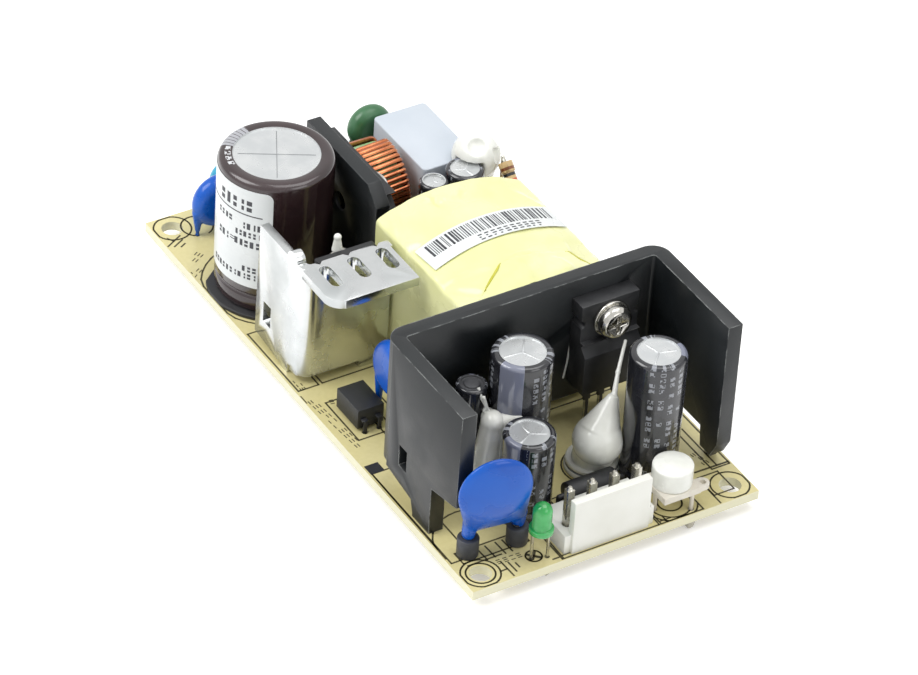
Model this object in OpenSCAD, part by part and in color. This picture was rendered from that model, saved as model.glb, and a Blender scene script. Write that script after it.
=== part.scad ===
// Open frame power supply, 4 x 2 inch format.
// X runs along the board from the mains end (-X) to the output end (+X), Z is up,
// and z = 0 is the level of the trimmed lead tips under the board.

/* [Board] */
// Length of the circuit board
board_len = 101.6; // [101.6:0.2:108]
// Width of the circuit board
board_wid = 50.8; // [50.8:0.2:56]
// Thickness of the circuit board
board_thick = 1.6; // [1:0.1:2.4]
// Distance of each mounting hole from the two nearest edges
hole_inset = 3.175; // [3:0.025:3.5]
// Diameter of the mounting holes
hole_d = 3.5; // [3:0.1:3.7]
// Length of the leads and solder below the board
lead_out = 2; // [1.8:0.1:3]

/* [Bulk capacitor] */
// Diameter of the high-voltage capacitor with its sleeve
bulk_d = 18.4; // [16:0.1:18.8]
// Height of the high-voltage capacitor
bulk_h = 24.6; // [18:0.1:30]
// Thickness of the black insulating plate under it
insulator_t = 0.7; // [0.4:0.1:1.2]

/* [Input filter] */
// Length, along X, of the box capacitor
box_cap_len = 16.2; // [15:0.1:16.4]
// Width of the box capacitor
box_cap_wid = 9.7; // [8:0.1:10]
// Height of the box capacitor
box_cap_h = 12.6; // [10:0.1:15]
// Outer diameter of the wound common-mode choke
choke_d = 14.4; // [13.6:0.1:14.6]
// Width of the wound common-mode choke across its faces
choke_wid = 7.2; // [6.4:0.1:7.4]
// Diameter of the copper wire on the choke
choke_wire_d = 0.7; // [0.5:0.05:0.8]
// Diameter of the varistor disc
varistor_d = 7.7; // [7:0.1:8]

/* [Heatsinks] */
// Height of the black output heatsink above the board
sink_h = 27.4; // [24:0.1:30]
// Thickness of the black heatsink sheets
sink_t = 2.5; // [1.5:0.1:2.6]
// Length, along X, of the output heatsink's wings
sink_wing_len = 23; // [22.6:0.1:24]
// Height of the bare aluminium bracket above the board
bracket_h = 22.2; // [22:0.1:23]
// Sheet thickness of the aluminium bracket
bracket_t = 1.5; // [1.2:0.1:1.6]
// Reach of the bracket's top flange beyond its wall
flange_reach = 8.8; // [6:0.1:9]
// Height of the black plate that cools the bridge rectifier
plate_h = 23.3; // [20:0.1:26]

/* [Transformer] */
// Length, along X, of the taped transformer
trafo_len = 28; // [27:0.1:28.4]
// Width of the taped transformer
trafo_wid = 26.8; // [26:0.1:27]
// Height of the transformer above the board at its crown
trafo_h = 25.3; // [24.4:0.1:27]

/* [Output filter] */
// Diameter of the tall output capacitor beside the rod choke
left_cap_d = 9.6; // [8:0.1:9.7]
// Diameter of the tall output capacitor beside the trimmer
right_cap_d = 8.9; // [8:0.1:9]
// Height of the two tall output capacitors
out_cap_h = 23.3; // [16:0.1:25]
// Diameter of the short output capacitor
short_cap_d = 8.2; // [6.3:0.1:8.3]
// Height of the short output capacitor
short_cap_h = 15; // [11:0.1:18]
// Height of the rod choke
rod_choke_h = 17.9; // [14:0.1:20]

/* [Headers] */
// Height of the headers' locking walls
header_wall_h = 9.6; // [8:0.1:10]

/* [Hidden] */
$fn = 48;
eps = 0.01;

top = lead_out + board_thick;          // height of the board's upper face
half_len = board_len / 2;
half_wid = board_wid / 2;
edge_gap = 0.9;                        // clearance of the wings from the board's long edges
fit = 0.3;                             // clearance of each lead in its hole

// --- places on the board, from its centre ---------------------------------------------
bulk_at = [-28.2, -14.9];
bulk_lead_gap = 7.5;
box_cap_at = [-27.9 - box_cap_len / 2, 12.3 + box_cap_wid / 2];
box_cap_lead_gap = 15;
choke_at = [-34.8, 6.9];
choke_centre_h = choke_d / 2 + 0.7;
plate_y = -2.5;                        // face of the black plate that carries the rectifier
plate_x = [-36, -14];
bridge_w = 17;
bridge_t = 3.5;
bridge_x = -25;
fuse_at = [-46.3, 6.8];
fuse_len = 8;
fuse_wid = 4.4;
fuse_h = 7.7;
varistor_at = [-46.5, 13.2];
varistor_t = 3.5;
varistor_centre_h = 9.4;
disc_d = 9.4;
disc_t = 3.2;
input_disc_at = [-44.3, -15.7];
input_disc_centre_h = 5.8;
line_disc_at = [-47.8, -12];
line_disc_centre_h = 6.6;
line_disc_d = 6.8;
line_disc_t = 2.8;
bridging_disc_at = [11.05, -16.2];
bridging_disc_centre_h = 10.6;
small_cap_at = [-23.6, 11.5];
small_cap_d = 4.8;
small_cap_h = 14.2;
large_cap_at = [-23.9, 17.4];
large_cap_d = 6.3;
large_cap_h = 14.5;
resistor_d = 2.4;
resistor_y = 24;
resistor_high = [-22.5, resistor_y, top + 14.2];
resistor_low = [-18, resistor_y, top + 10];
wing_y = half_wid - edge_gap;          // outer face of both heatsinks' wings
bracket_y = -(half_wid - 1.2);         // outer face of the bracket's wing
bracket_x = -3;                        // outer face of the bracket's wall
bracket_wall_y = -8.7;                 // free end of the bracket's wall
bracket_wing_x = -17.3;                // free end of the bracket's wing
flange_y = -9.1;
transistor_y = -14.8;
package_w = 10.2;                      // moulded power package: width, thickness, height
package_t = 4.6;
package_tab_t = 2.9;                   // thickness of the package round its screw hole
package_tab_h = 6.6;
package_h = 15.8;
package_hole_down = 3.4;
package_lead_x = 2.1;                  // distance of the leads from the mounting face
package_lift = 4.7;
lead_pitch = 2.54;
trafo_x = -9.2;                        // end of the tape that faces the mains end
trafo_y = -8.1;                        // side of the tape that faces the bracket
trafo_mid = [trafo_x + trafo_len / 2, trafo_y + trafo_wid / 2];
tape_t = 0.3;
sink_x = 20.5;                         // outer face of the output heatsink's wall
rectifier_y = 12.6;
rectifier_lift = 8.4;
opto_at = [7.3, -19.5];
left_cap_at = [29.5, -5.3];
right_cap_at = [39, 12.8];
short_cap_at = [37.9, -8.7];
rod_choke_at = [26.9, -12.3];
rod_choke_d = 4.9;
diode_at = [40.2, 1.6];
diode_d = 3.9;
diode_len = 8.4;
cone_at = [34, 5.8];
cone_r = 4;
pin_pitch = 3.96;                      // standard pitch of the header pins
header_depth = 7.4;
header_end = 1.95;                     // reach of the base beyond the outer pins
header_base_h = 3.4;
header_wall_t = 1.3;
out_header_y = -1.05;
in_header_y = -2.7;
pin_w = 1.14;
pin_h = 10.5;
lamp_at = [48.6, -12.6];
lamp_d = 3;
out_disc_at = [46, -19.5];
out_disc_turn = 78.5;                  // turn of the disc's face away from the X axis
out_disc_centre_h = 13.8;
out_disc_d = 11.8;
out_disc_t = 2.8;
out_disc_legs = [[42.9, -21.7], [43.8, -13.6]];
sleeve_d = 3.4;
sleeve_h = 3.4;
trimmer_at = [46.9, 11.7];
trimmer_w = 6.5;
trimmer_lift = 3.1;
screw_d = 3;
head_d = 5.6;
head_h = 1.9;

// --- every lead that passes through the board: [x, y, diameter] ------------------------
function pair(at, gap, d, turn = 0) = [
  for (s = [-1, 1]) [at[0] + s * gap / 2 * cos(turn), at[1] + s * gap / 2 * sin(turn), d]
];
function row_y(x, y, count, pitch, d) = [
  for (i = [0 : count - 1]) [x, y + (i - (count - 1) / 2) * pitch, d]
];
function row_x(x, y, count, pitch, d) = [
  for (i = [0 : count - 1]) [x + (i - (count - 1) / 2) * pitch, y, d]
];
pin_round_d = pin_w * sqrt(2);
out_pin_x = half_len - 3.7;
in_pin_x = -(half_len - 3.7);
bulk_leads = pair(bulk_at, bulk_lead_gap, 0.8, 0);
box_cap_leads = pair(box_cap_at, box_cap_lead_gap, 0.8, 0);
fuse_leads = pair(fuse_at, 5.08, 0.6, 0);
varistor_leads = pair(varistor_at, 5, 0.8, 90);
input_disc_leads = pair(input_disc_at, 7.5, 0.6, 90);
line_disc_leads = pair(line_disc_at, 4.4, 0.6, 90);
bridging_disc_leads = pair(bridging_disc_at, 7.5, 0.6, 0);
choke_leads_left = pair([choke_at[0] - 3.6, choke_at[1]], 5, choke_wire_d, 90);
choke_leads_right = pair([choke_at[0] + 5.1, choke_at[1]], 5, choke_wire_d, 90);
bridge_leads = row_x(bridge_x, plate_y + bridge_t / 2, 4, 3.81, 1);
plate_pins = pair([(plate_x[0] + plate_x[1]) / 2, plate_y - sink_t / 2], 16, 1.4, 0);
small_cap_leads = pair(small_cap_at, 2, 0.5, 90);
large_cap_leads = pair(large_cap_at, 2.5, 0.5, 90);
resistor_step = 0.9 * (resistor_low - resistor_high) / norm(resistor_low - resistor_high);
resistor_leads = [
  [resistor_high[0] - resistor_step[0], resistor_y, 0.6],
  [resistor_low[0] + resistor_step[0], resistor_y, 0.6]
];
transistor_x = bracket_x - bracket_t - package_lead_x;
transistor_leads = row_y(transistor_x, transistor_y, 3, lead_pitch, 0.9);
bracket_pin = [[-8.1, bracket_y + bracket_t / 2, 1.2], [bracket_x - bracket_t / 2, -12.4, 1.2]];
trafo_pins_far = row_y(trafo_x + 3, trafo_mid[1], 5, 4, 0.8);
trafo_pins_near = row_y(trafo_x + trafo_len - 3, trafo_mid[1], 5, 4, 0.8);
opto_leads = concat(
  row_y(opto_at[0] - 3.81, opto_at[1], 2, lead_pitch, 0.7),
  row_y(opto_at[0] + 3.81, opto_at[1], 2, lead_pitch, 0.7)
);
sink_pins = [
  [33.9, -(wing_y - sink_t / 2), 1.6],
  [39.6, wing_y - sink_t / 4, 1.2]
];
rectifier_x = sink_x + sink_t + package_lead_x;
rectifier_leads = row_y(rectifier_x, rectifier_y, 3, lead_pitch, 0.9);
left_cap_leads = pair(left_cap_at, 5, 0.6, 90);
right_cap_leads = pair(right_cap_at, 5, 0.6, 90);
short_cap_leads = pair(short_cap_at, 3.5, 0.6, 90);
rod_choke_leads = pair(rod_choke_at, 3, 0.7, 90);
diode_leads = pair(diode_at, diode_len + 2.8, 0.9, 90);
lamp_leads = pair(lamp_at, lead_pitch, 0.5, 75);
out_disc_leads = [for (p = out_disc_legs) [p[0], p[1], 0.6]];
trimmer_leads = [
  [trimmer_at[0] + 0.2, trimmer_at[1] - 2.9, 0.7],
  [trimmer_at[0] + 2.7, trimmer_at[1] + 2.1, 0.7],
  [trimmer_at[0] - 2.3, trimmer_at[1] + 2.1, 0.7]
];
out_pins = row_y(out_pin_x, out_header_y, 4, pin_pitch, pin_round_d);
in_pins = row_y(in_pin_x, in_header_y, 2, 2 * pin_pitch, pin_round_d);
LEADS = concat(
  bulk_leads, box_cap_leads, fuse_leads, varistor_leads, input_disc_leads, line_disc_leads,
  bridging_disc_leads, choke_leads_left, choke_leads_right, bridge_leads, plate_pins,
  small_cap_leads, large_cap_leads, resistor_leads, transistor_leads, bracket_pin,
  trafo_pins_far, trafo_pins_near, opto_leads, sink_pins, rectifier_leads,
  left_cap_leads, right_cap_leads, short_cap_leads, rod_choke_leads, diode_leads,
  lamp_leads, out_disc_leads, trimmer_leads, out_pins, in_pins
);

// --- shared shapes ----------------------------------------------------------------------
// round leads from their tips up to a height above the board
module leads(list, h) {
  for (l = list) translate([l[0], l[1], 0]) cylinder(d = l[2], h = top + h, $fn = 24);
}
// a round bar or cone between two points
module rod(a, b, r1, r2) {
  v = b - a;
  translate(a) rotate([0, acos(v[2] / norm(v)), atan2(v[1], v[0])])
    cylinder(r1 = r1, r2 = r2, h = norm(v), $fn = 32);
}
// an upright can with a rounded shoulder
module can(d, h, shoulder) {
  cylinder(d = d, h = h - shoulder);
  cylinder(d = d - 2 * shoulder, h = h);
  translate([0, 0, h - shoulder])
    rotate_extrude() translate([d / 2 - shoulder, 0]) circle(r = shoulder, $fn = 24);
}
// a flat disc with a full round rim, standing on edge with its faces along X
module disc(d, t) {
  rotate([0, 90, 0]) translate([0, 0, -t / 2]) {
    cylinder(d = d - t, h = t);
    translate([0, 0, t / 2]) rotate_extrude() translate([d / 2 - t / 2, 0]) circle(d = t, $fn = 24);
  }
}
// a plate from an outline in the X-Z plane, with its outer face at y and its thickness towards +Y
module wall_xz(y, t) {
  translate([0, y + t, 0]) rotate([90, 0, 0]) linear_extrude(t) children();
}
// a plate from an outline in the Y-Z plane, with its face at x and its thickness towards +X
module wall_yz(x, t) {
  translate([x, 0, 0]) rotate([90, 0, 90]) linear_extrude(t) children();
}
// a radial electrolytic capacitor with crimped base, recessed top and vent score
module electrolytic(at, d, h, list, lift = 0) {
  translate([at[0], at[1], top + lift]) difference() {
    can(d, h, 0.7);
    translate([0, 0, 2]) rotate_extrude() translate([d / 2 + 0.45, 0]) circle(r = 0.7, $fn = 24);
    translate([0, 0, h - 0.25]) cylinder(d = d * 0.74, h = 1);
    for (a = [20, 110]) rotate(a) translate([-d * 0.3, -0.15, h - 0.45]) cube([d * 0.6, 0.3, 1]);
  }
  leads(list, lift + eps);
}
// a pan-head screw along +X, with its head's underside at the origin
module screw(shank) {
  translate([-head_h, 0, 0]) rotate([0, 90, 0]) difference() {
    union() {
      cylinder(d1 = head_d - 1.2, d2 = head_d, h = 0.7);
      translate([0, 0, 0.7]) cylinder(d = head_d, h = head_h - 0.7);
    }
    for (a = [0, 90]) rotate(a) translate([-1.5, -0.25, -1]) cube([3, 0.5, 1.9]);
  }
  rotate([0, 90, 0]) translate([0, 0, -eps]) cylinder(d = screw_d, h = shank);
}
// leads under a dipped disc: coated legs that merge into the disc
module coated_legs(list, h, coat_d) {
  for (l = list) translate([l[0], l[1], top + 0.8]) cylinder(d1 = l[2] + 0.2, d2 = coat_d, h = h - 0.8);
}

// --- board ------------------------------------------------------------------------------
module circuit_board() color([0.86, 0.82, 0.6]) {
  difference() {
    translate([-half_len, -half_wid, lead_out]) cube([board_len, board_wid, board_thick]);
    for (x = [-1, 1]) for (y = [-1, 1])
      translate([x * (half_len - hole_inset), y * (half_wid - hole_inset), 0])
        cylinder(d = hole_d, h = top + 1);
    for (l = LEADS) translate([l[0], l[1], 0]) cylinder(d = l[2] + fit, h = top + 1, $fn = 16);
  }
}
// a cone of solder round every lead, under the board
module solder_joints() color([0.75, 0.76, 0.78]) {
  for (l = LEADS) translate([l[0], l[1], 0]) difference() {
    translate([0, 0, 0.5]) cylinder(d1 = l[2] + 0.7, d2 = l[2] + 1.4, h = lead_out - 0.5, $fn = 16);
    translate([0, 0, -1]) cylinder(d = l[2] + 0.02, h = top, $fn = 16);
  }
}
chip_at = [-1, 20.5];
chip_t = 1.5;
module controller_chip() color([0.13, 0.13, 0.14]) {
  translate([chip_at[0] - 2.5, chip_at[1] - 2, lead_out - 0.1 - chip_t]) cube([5, 4, chip_t]);
  for (i = [0 : 3]) for (s = [-1, 1])
    translate([chip_at[0] - 2.1 + i * 1.27, chip_at[1] + s * 2.45 - 0.6, lead_out - 0.25])
      cube([0.4, 1.2, 0.25]);
}
chip_places = [[-12, 20.5], [-9, 20.5], [8, 20.5], [12, 21], [16, -11], [28, 18], [-41, -21], [-14, 22]];
module chip_resistors() color([0.16, 0.16, 0.17]) {
  for (p = chip_places) translate([p[0] - 1, p[1] - 0.625, lead_out - 0.55]) cube([2, 1.25, 0.55]);
}

// --- mains end --------------------------------------------------------------------------
// a friction-lock header: a base, a locking wall toward the board's edge, holes for the pins
module header(y, count, side) {
  len = (count - 1) * pin_pitch + 2 * header_end;
  mirror([side < 0 ? 1 : 0, 0, 0]) difference() {
    translate([half_len - 1.1 - header_depth, y - len / 2, top]) union() {
      cube([header_depth, len, header_base_h]);
      translate([header_depth + 0.5 - header_wall_t, 1.1, 0]) cube([header_wall_t, len - 2.2, header_wall_h]);
      translate([header_depth - 0.8 - header_wall_t, len / 2 - 1.5, 0])
        cube([header_wall_t, 3, header_wall_h - 3]);
    }
    for (i = [0 : count - 1])
      translate([out_pin_x, y + (i - (count - 1) / 2) * pin_pitch, 0])
        cylinder(d = pin_round_d + 0.1, h = top + 6, $fn = 24);
    for (i = [0 : count - 2])
      translate([out_pin_x - 4, y + (i - (count - 2) / 2) * pin_pitch - 0.5, top - 1])
        cube([header_depth - 4.6, 1, 1.6]);
  }
}
module square_pins(list) {
  for (l = list) translate([l[0] - pin_w / 2, l[1] - pin_w / 2, 0]) {
    translate([0, 0, 0.5]) cube([pin_w, pin_w, top + pin_h - 1]);
    translate([pin_w / 2, pin_w / 2, 0]) cylinder(d1 = 0.9, d2 = pin_w, h = 0.5 + eps, $fn = 16);
    translate([pin_w / 2, pin_w / 2, top + pin_h - 0.5 - eps])
      cylinder(d1 = pin_w, d2 = 0.6, h = 0.5, $fn = 16);
  }
}
module input_header() color([0.93, 0.93, 0.9]) header(in_header_y, 3, -1);
module input_pins() color([0.75, 0.75, 0.72]) square_pins(in_pins);
module fuse() color([0.12, 0.12, 0.12]) {
  translate([fuse_at[0] - fuse_len / 2, fuse_at[1] - fuse_wid / 2, top + 0.5])
    cube([fuse_len, fuse_wid, fuse_h]);
  leads(fuse_leads, 0.5 + eps);
}
module varistor() color([0.1, 0.36, 0.2]) {
  translate([varistor_at[0], varistor_at[1], top + varistor_centre_h]) disc(varistor_d, varistor_t);
  leads(varistor_leads, varistor_centre_h - 2.4);
  coated_legs(varistor_leads, varistor_centre_h - 2.2, 2);
}
module input_disc_capacitor() color([0.1, 0.35, 0.8]) {
  translate([input_disc_at[0], input_disc_at[1], top + input_disc_centre_h]) disc(disc_d, disc_t);
  leads(input_disc_leads, input_disc_centre_h - 1.6);
  coated_legs(input_disc_leads, input_disc_centre_h - 1.2, 2);
}
module line_disc_capacitor() color([0.1, 0.5, 0.55]) {
  translate([line_disc_at[0], line_disc_at[1], top + line_disc_centre_h]) disc(line_disc_d, line_disc_t);
  leads(line_disc_leads, line_disc_centre_h - 1.4);
  coated_legs(line_disc_leads, line_disc_centre_h - 1, 1.8);
}
module bridging_disc_capacitor() color([0.1, 0.35, 0.8]) {
  translate([bridging_disc_at[0], bridging_disc_at[1], top + bridging_disc_centre_h])
    rotate(90) disc(disc_d, disc_t);
  leads(bridging_disc_leads, bridging_disc_centre_h - 2);
  coated_legs(bridging_disc_leads, bridging_disc_centre_h - 1.6, 2);
}

// --- common-mode choke -------------------------------------------------------------------
core_d = 12.4;
core_bore = 7.4;
core_wid = choke_wid - 2 * choke_wire_d - 0.6;
module choke_core() color([0.45, 0.68, 0.4]) {
  translate([choke_at[0], choke_at[1] + core_wid / 2, top + choke_centre_h]) rotate([90, 0, 0]) difference() {
    union() {
      cylinder(d = core_d - 1, h = core_wid);
      translate([0, 0, 0.5]) cylinder(d = core_d, h = core_wid - 1);
      for (z = [0.5, core_wid - 0.5]) translate([0, 0, z])
        rotate_extrude() translate([core_d / 2 - 0.5, 0]) circle(r = 0.5, $fn = 16);
    }
    translate([0, 0, -1]) cylinder(d = core_bore, h = core_wid + 2);
  }
}
turns = 19;
arc = 146;                             // angle that one winding covers
gap_at = 117;                          // angle of the open gap between the windings
arc_from = gap_at + (180 - arc) / 2;   // first turn, past that gap
// one half of the winding: a solid layer of wire, ribbed turn by turn
module choke_winding(from, list, lead_h) {
  outer = choke_d / 2;
  inner = core_bore / 2 - choke_wire_d - 0.1;
  clear = 0.1;
  layer = choke_wire_d * 0.5;
  rib_from = core_bore / 2 + 0.6;      // the ribs end where neighbouring turns close up
  translate([choke_at[0], choke_at[1], top + choke_centre_h]) rotate([90, 0, 0]) {
    rotate(from) rotate_extrude(angle = arc, $fn = 72) difference() {
      translate([inner + layer / 2, -choke_wid / 2 + layer / 2])
        square([outer - inner - layer, choke_wid - layer]);
      translate([core_bore / 2 - clear, -core_wid / 2 - clear])
        square([(core_d - core_bore) / 2 + 2 * clear, core_wid + 2 * clear]);
    }
    for (i = [0 : turns - 1]) rotate(from + (i + 0.5) * arc / turns)
      rotate([90, 0, 0]) translate([0, 0, -choke_wire_d * 0.38]) linear_extrude(choke_wire_d * 0.76)
        difference() {
          translate([rib_from, -choke_wid / 2]) square([outer - rib_from, choke_wid]);
          translate([0, -core_wid / 2 - 2.5 * clear])
            square([core_d / 2 + 2.5 * clear, core_wid + 5 * clear]);
        }
  }
  leads(list, choke_centre_h - lead_h);
}
module choke_winding_left() color([0.75, 0.42, 0.2]) choke_winding(arc_from, choke_leads_left, 5.5);
module choke_winding_right() color([0.75, 0.42, 0.2]) choke_winding(arc_from - 180, choke_leads_right, 4.1);

module box_capacitor() color([0.62, 0.68, 0.76]) {
  r = 0.8;
  translate([box_cap_at[0] - box_cap_len / 2, box_cap_at[1] - box_cap_wid / 2, top + 0.3]) {
    translate([r, 0, 0]) cube([box_cap_len - 2 * r, box_cap_wid, box_cap_h]);
    translate([0, r, 0]) cube([box_cap_len, box_cap_wid - 2 * r, box_cap_h]);
    for (x = [r, box_cap_len - r]) for (y = [r, box_cap_wid - r])
      translate([x, y, 0]) cylinder(r = r, h = box_cap_h, $fn = 24);
  }
  leads(box_cap_leads, 0.3 + eps);
}
module supply_capacitor_small() color([0.12, 0.12, 0.13])
  electrolytic(small_cap_at, small_cap_d, small_cap_h, small_cap_leads);
module supply_capacitor_large() color([0.12, 0.12, 0.13])
  electrolytic(large_cap_at, large_cap_d, large_cap_h, large_cap_leads);
// a resistor that leans between its two leads
module film_resistor() color([0.8, 0.7, 0.5]) {
  along = (resistor_low - resistor_high) / norm(resistor_low - resistor_high);
  rod(resistor_high, resistor_low, resistor_d * 0.42, resistor_d * 0.42);
  rod(resistor_high, resistor_high + 1.7 * along, resistor_d / 2, resistor_d / 2);
  rod(resistor_low - 1.7 * along, resistor_low, resistor_d / 2, resistor_d / 2);
  for (k = [0, 1]) {
    end = k == 0 ? resistor_high - 0.9 * along : resistor_low + 0.9 * along;
    rod(k == 0 ? resistor_high : resistor_low, end, 0.3, 0.3);
    translate(end) sphere(d = 0.62, $fn = 24);
    translate([end[0], end[1], 0]) cylinder(d = 0.6, h = end[2], $fn = 24);
  }
}
// a drop of silicone that fixes the box capacitor to the supply capacitor
dab_at = [-27, 21.4];
dab_r = 4;
dab_h = 13.6;
module filter_silicone() color([0.95, 0.95, 0.93]) difference() {
  translate([dab_at[0], dab_at[1], top + dab_h]) union() {
    sphere(r = dab_r);
    translate([0, 0, -7]) cylinder(r1 = 2.4, r2 = dab_r * 0.9, h = 6);
  }
  translate([box_cap_at[0] - box_cap_len / 2 - 1, box_cap_at[1] - box_cap_wid / 2 - 1, top])
    cube([box_cap_len + 1 + 0.1, box_cap_wid + 1.1, box_cap_h + 0.4]);
  translate([large_cap_at[0], large_cap_at[1], top - 1])
    cylinder(d = large_cap_d + 0.2, h = large_cap_h + 1.1);
  translate([dab_at[0] + 2.2, dab_at[1] - 1.4, top + dab_h + 3.9]) sphere(r = 1.9);
  rod(resistor_high - 3 * resistor_step, resistor_low, resistor_d / 2 + 0.2, resistor_d / 2 + 0.2);
  translate([resistor_leads[0][0], resistor_y, 0]) cylinder(d = 1, h = 40);
}

// --- bridge rectifier ----------------------------------------------------------------------
bridge_lift = 4;
bridge_h = 15;
bridge_screw_h = bridge_lift + bridge_h - 4.2;
chamfer = 3;
module bridge_heatsink() color([0.12, 0.13, 0.14]) difference() {
  union() {
    wall_xz(plate_y - sink_t, sink_t) polygon([
      [plate_x[0], top + 1.5], [plate_x[1], top + 1.5], [plate_x[1], top + plate_h - chamfer],
      [plate_x[1] - chamfer, top + plate_h], [plate_x[0], top + plate_h]
    ]);
    for (l = plate_pins) translate([l[0] - 1.3, plate_y - sink_t, top]) cube([2.6, sink_t, 1.5 + eps]);
    leads(plate_pins, 1.5 + eps);
  }
  translate([bridge_x, plate_y + 1, top + bridge_screw_h]) rotate([90, 0, 0])
    cylinder(d = screw_d + 0.1, h = sink_t + 2);
}
module bridge_rectifier() color([0.1, 0.1, 0.11]) {
  difference() {
    translate([bridge_x - bridge_w / 2, plate_y + 0.02, top + bridge_lift])
      cube([bridge_w, bridge_t, bridge_h]);
    translate([bridge_x, plate_y + bridge_t + 1, top + bridge_screw_h])
      rotate([90, 0, 0]) cylinder(d = screw_d + 0.2, h = bridge_t + 2);
    translate([bridge_x + bridge_w / 2, plate_y - 1, top + bridge_lift + bridge_h]) rotate([0, 45, 0])
      translate([-1.2, 0, -3]) cube([4, bridge_t + 2, 6]);
  }
  leads(bridge_leads, bridge_lift + eps);
}
module bridge_screw() color([0.7, 0.7, 0.72])
  translate([bridge_x, plate_y + bridge_t + 0.04, top + bridge_screw_h]) rotate(-90)
    screw(bridge_t + sink_t - 0.2);

// --- bulk capacitor --------------------------------------------------------------------------
insulator_d = bulk_d + 2.6;
bulk_base = top + insulator_t;
module bulk_capacitor() color([0.2, 0.13, 0.13]) {
  translate([bulk_at[0], bulk_at[1], bulk_base + 0.02]) difference() {
    can(bulk_d, bulk_h, 1.2);
    translate([0, 0, 2.6]) rotate_extrude() translate([bulk_d / 2 + 0.55, 0]) circle(r = 0.9, $fn = 24);
    translate([0, 0, bulk_h - 0.35]) cylinder(d = bulk_d * 0.75, h = 1);
    for (a = [61, 151]) rotate(a) translate([-bulk_d * 0.31, -0.2, bulk_h - 0.6])
      cube([bulk_d * 0.62, 0.4, 1]);
  }
  leads(bulk_leads, insulator_t + 0.1);
}
module bulk_insulator() color([0.08, 0.08, 0.08]) difference() {
  intersection() {
    translate([bulk_at[0], bulk_at[1], top]) cylinder(d = insulator_d, h = insulator_t);
    translate([bulk_at[0] - 20, -half_wid + 0.1, 0]) cube([40, 40, 20]);
    translate([bulk_at[0], bulk_at[1], 0]) rotate(38.1)
      translate([-bulk_d / 2 - 0.1, -20, 0]) cube([40, 40, 20]);
  }
  for (l = bulk_leads) translate([l[0], l[1], 0]) cylinder(d = l[2] + fit, h = 20, $fn = 16);
}
label_t = 0.12;
label_arc = 166;
module rating_label() color([0.95, 0.95, 0.94])
  translate([bulk_at[0], bulk_at[1], bulk_base + 4.6]) rotate(-198)
    rotate_extrude(angle = label_arc, $fn = 96)
      translate([bulk_d / 2 + 0.02, 0]) square([label_t, bulk_h - 6]);

// --- aluminium bracket and switching transistor ---------------------------------------------
module primary_bracket() color([0.82, 0.83, 0.84]) {
  wall_in = bracket_x - bracket_t;
  bend = 2.2;
  slot_ys = [bracket_y + 3.2, bracket_y + 8.2, bracket_y + 13.2];
  difference() {
    union() {
      // wing along the board's edge
      wall_xz(bracket_y, bracket_t) difference() {
        union() {
          polygon([
            [bracket_wing_x, top + 1.4], [-9.9, top + 0.5], [-9.1, top + 0.5], [-9.1, top],
            [-7.1, top], [-7.1, top + 1.9], [-6.3, top + 1.9], [-6.3, top + 1.2], [-4.3, top + 1.4],
            [bracket_x - bend, top + 3], [bracket_x - bend, top + bracket_h],
            [bracket_wing_x + 0.6, top + bracket_h]
          ]);
          translate([bracket_x - bend - 1.5, top + bracket_h]) circle(r = 1.5);
        }
        translate([-14.9, top + 4.8]) square([2.3, 3.9]);
      }
      // round bend between the wing and the wall
      intersection() {
        translate([bracket_x - bend, bracket_y + bend, top + 1.4]) difference() {
          cylinder(r = bend, h = bracket_h - 1.4);
          translate([0, 0, -1]) cylinder(r = bend - bracket_t, h = bracket_h + 2);
        }
        translate([bracket_x - bend - eps, bracket_y - 1, 0]) cube([bend + 1, bend + 1 + eps, 40]);
      }
      wall_yz(wall_in, bracket_t) polygon([
        [bracket_y + bend, top + 1.4], [bracket_wall_y, top + 1.4],
        [bracket_wall_y, top + bracket_h], [bracket_y + bend, top + bracket_h]
      ]);
      // top flange
      translate([wall_in, bracket_y, top + bracket_h - bracket_t]) linear_extrude(bracket_t) difference() {
        union() {
          translate([0, bend]) square([bracket_t + flange_reach, flange_y - bracket_y - bend]);
          translate([0, 0]) square([bracket_t + flange_reach - 3, 4]);
          translate([bracket_t + flange_reach - 3, 3]) circle(r = 3);
        }
        translate([-1, -1]) square([1.8, 2.2]);
      }
      translate([bracket_pin[1][0] - bracket_t / 2, bracket_pin[1][1] - 1.2, top])
        cube([bracket_t, 2.4, 1.4 + eps]);
      leads(bracket_pin, 1.4);
    }
    for (y = slot_ys) {
      translate([bracket_x + 0.7, y - 1, top + bracket_h - bracket_t - 1]) cube([3.4, 2, bracket_t + 2]);
      for (x = [0.7, 4.1]) translate([bracket_x + x, y, top + bracket_h - bracket_t - 1])
        cylinder(r = 1, h = bracket_t + 2);
      translate([wall_in - 0.6, y, top + bracket_h - 1]) rotate(45)
        translate([-0.9, -0.9, 0]) cube([1.8, 1.8, 2]);
    }
    translate([wall_in - 1, transistor_y, top + package_lift + package_h - package_hole_down])
      rotate([0, 90, 0]) cylinder(d = screw_d + 0.1, h = bracket_t + 2);
  }
}
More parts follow.
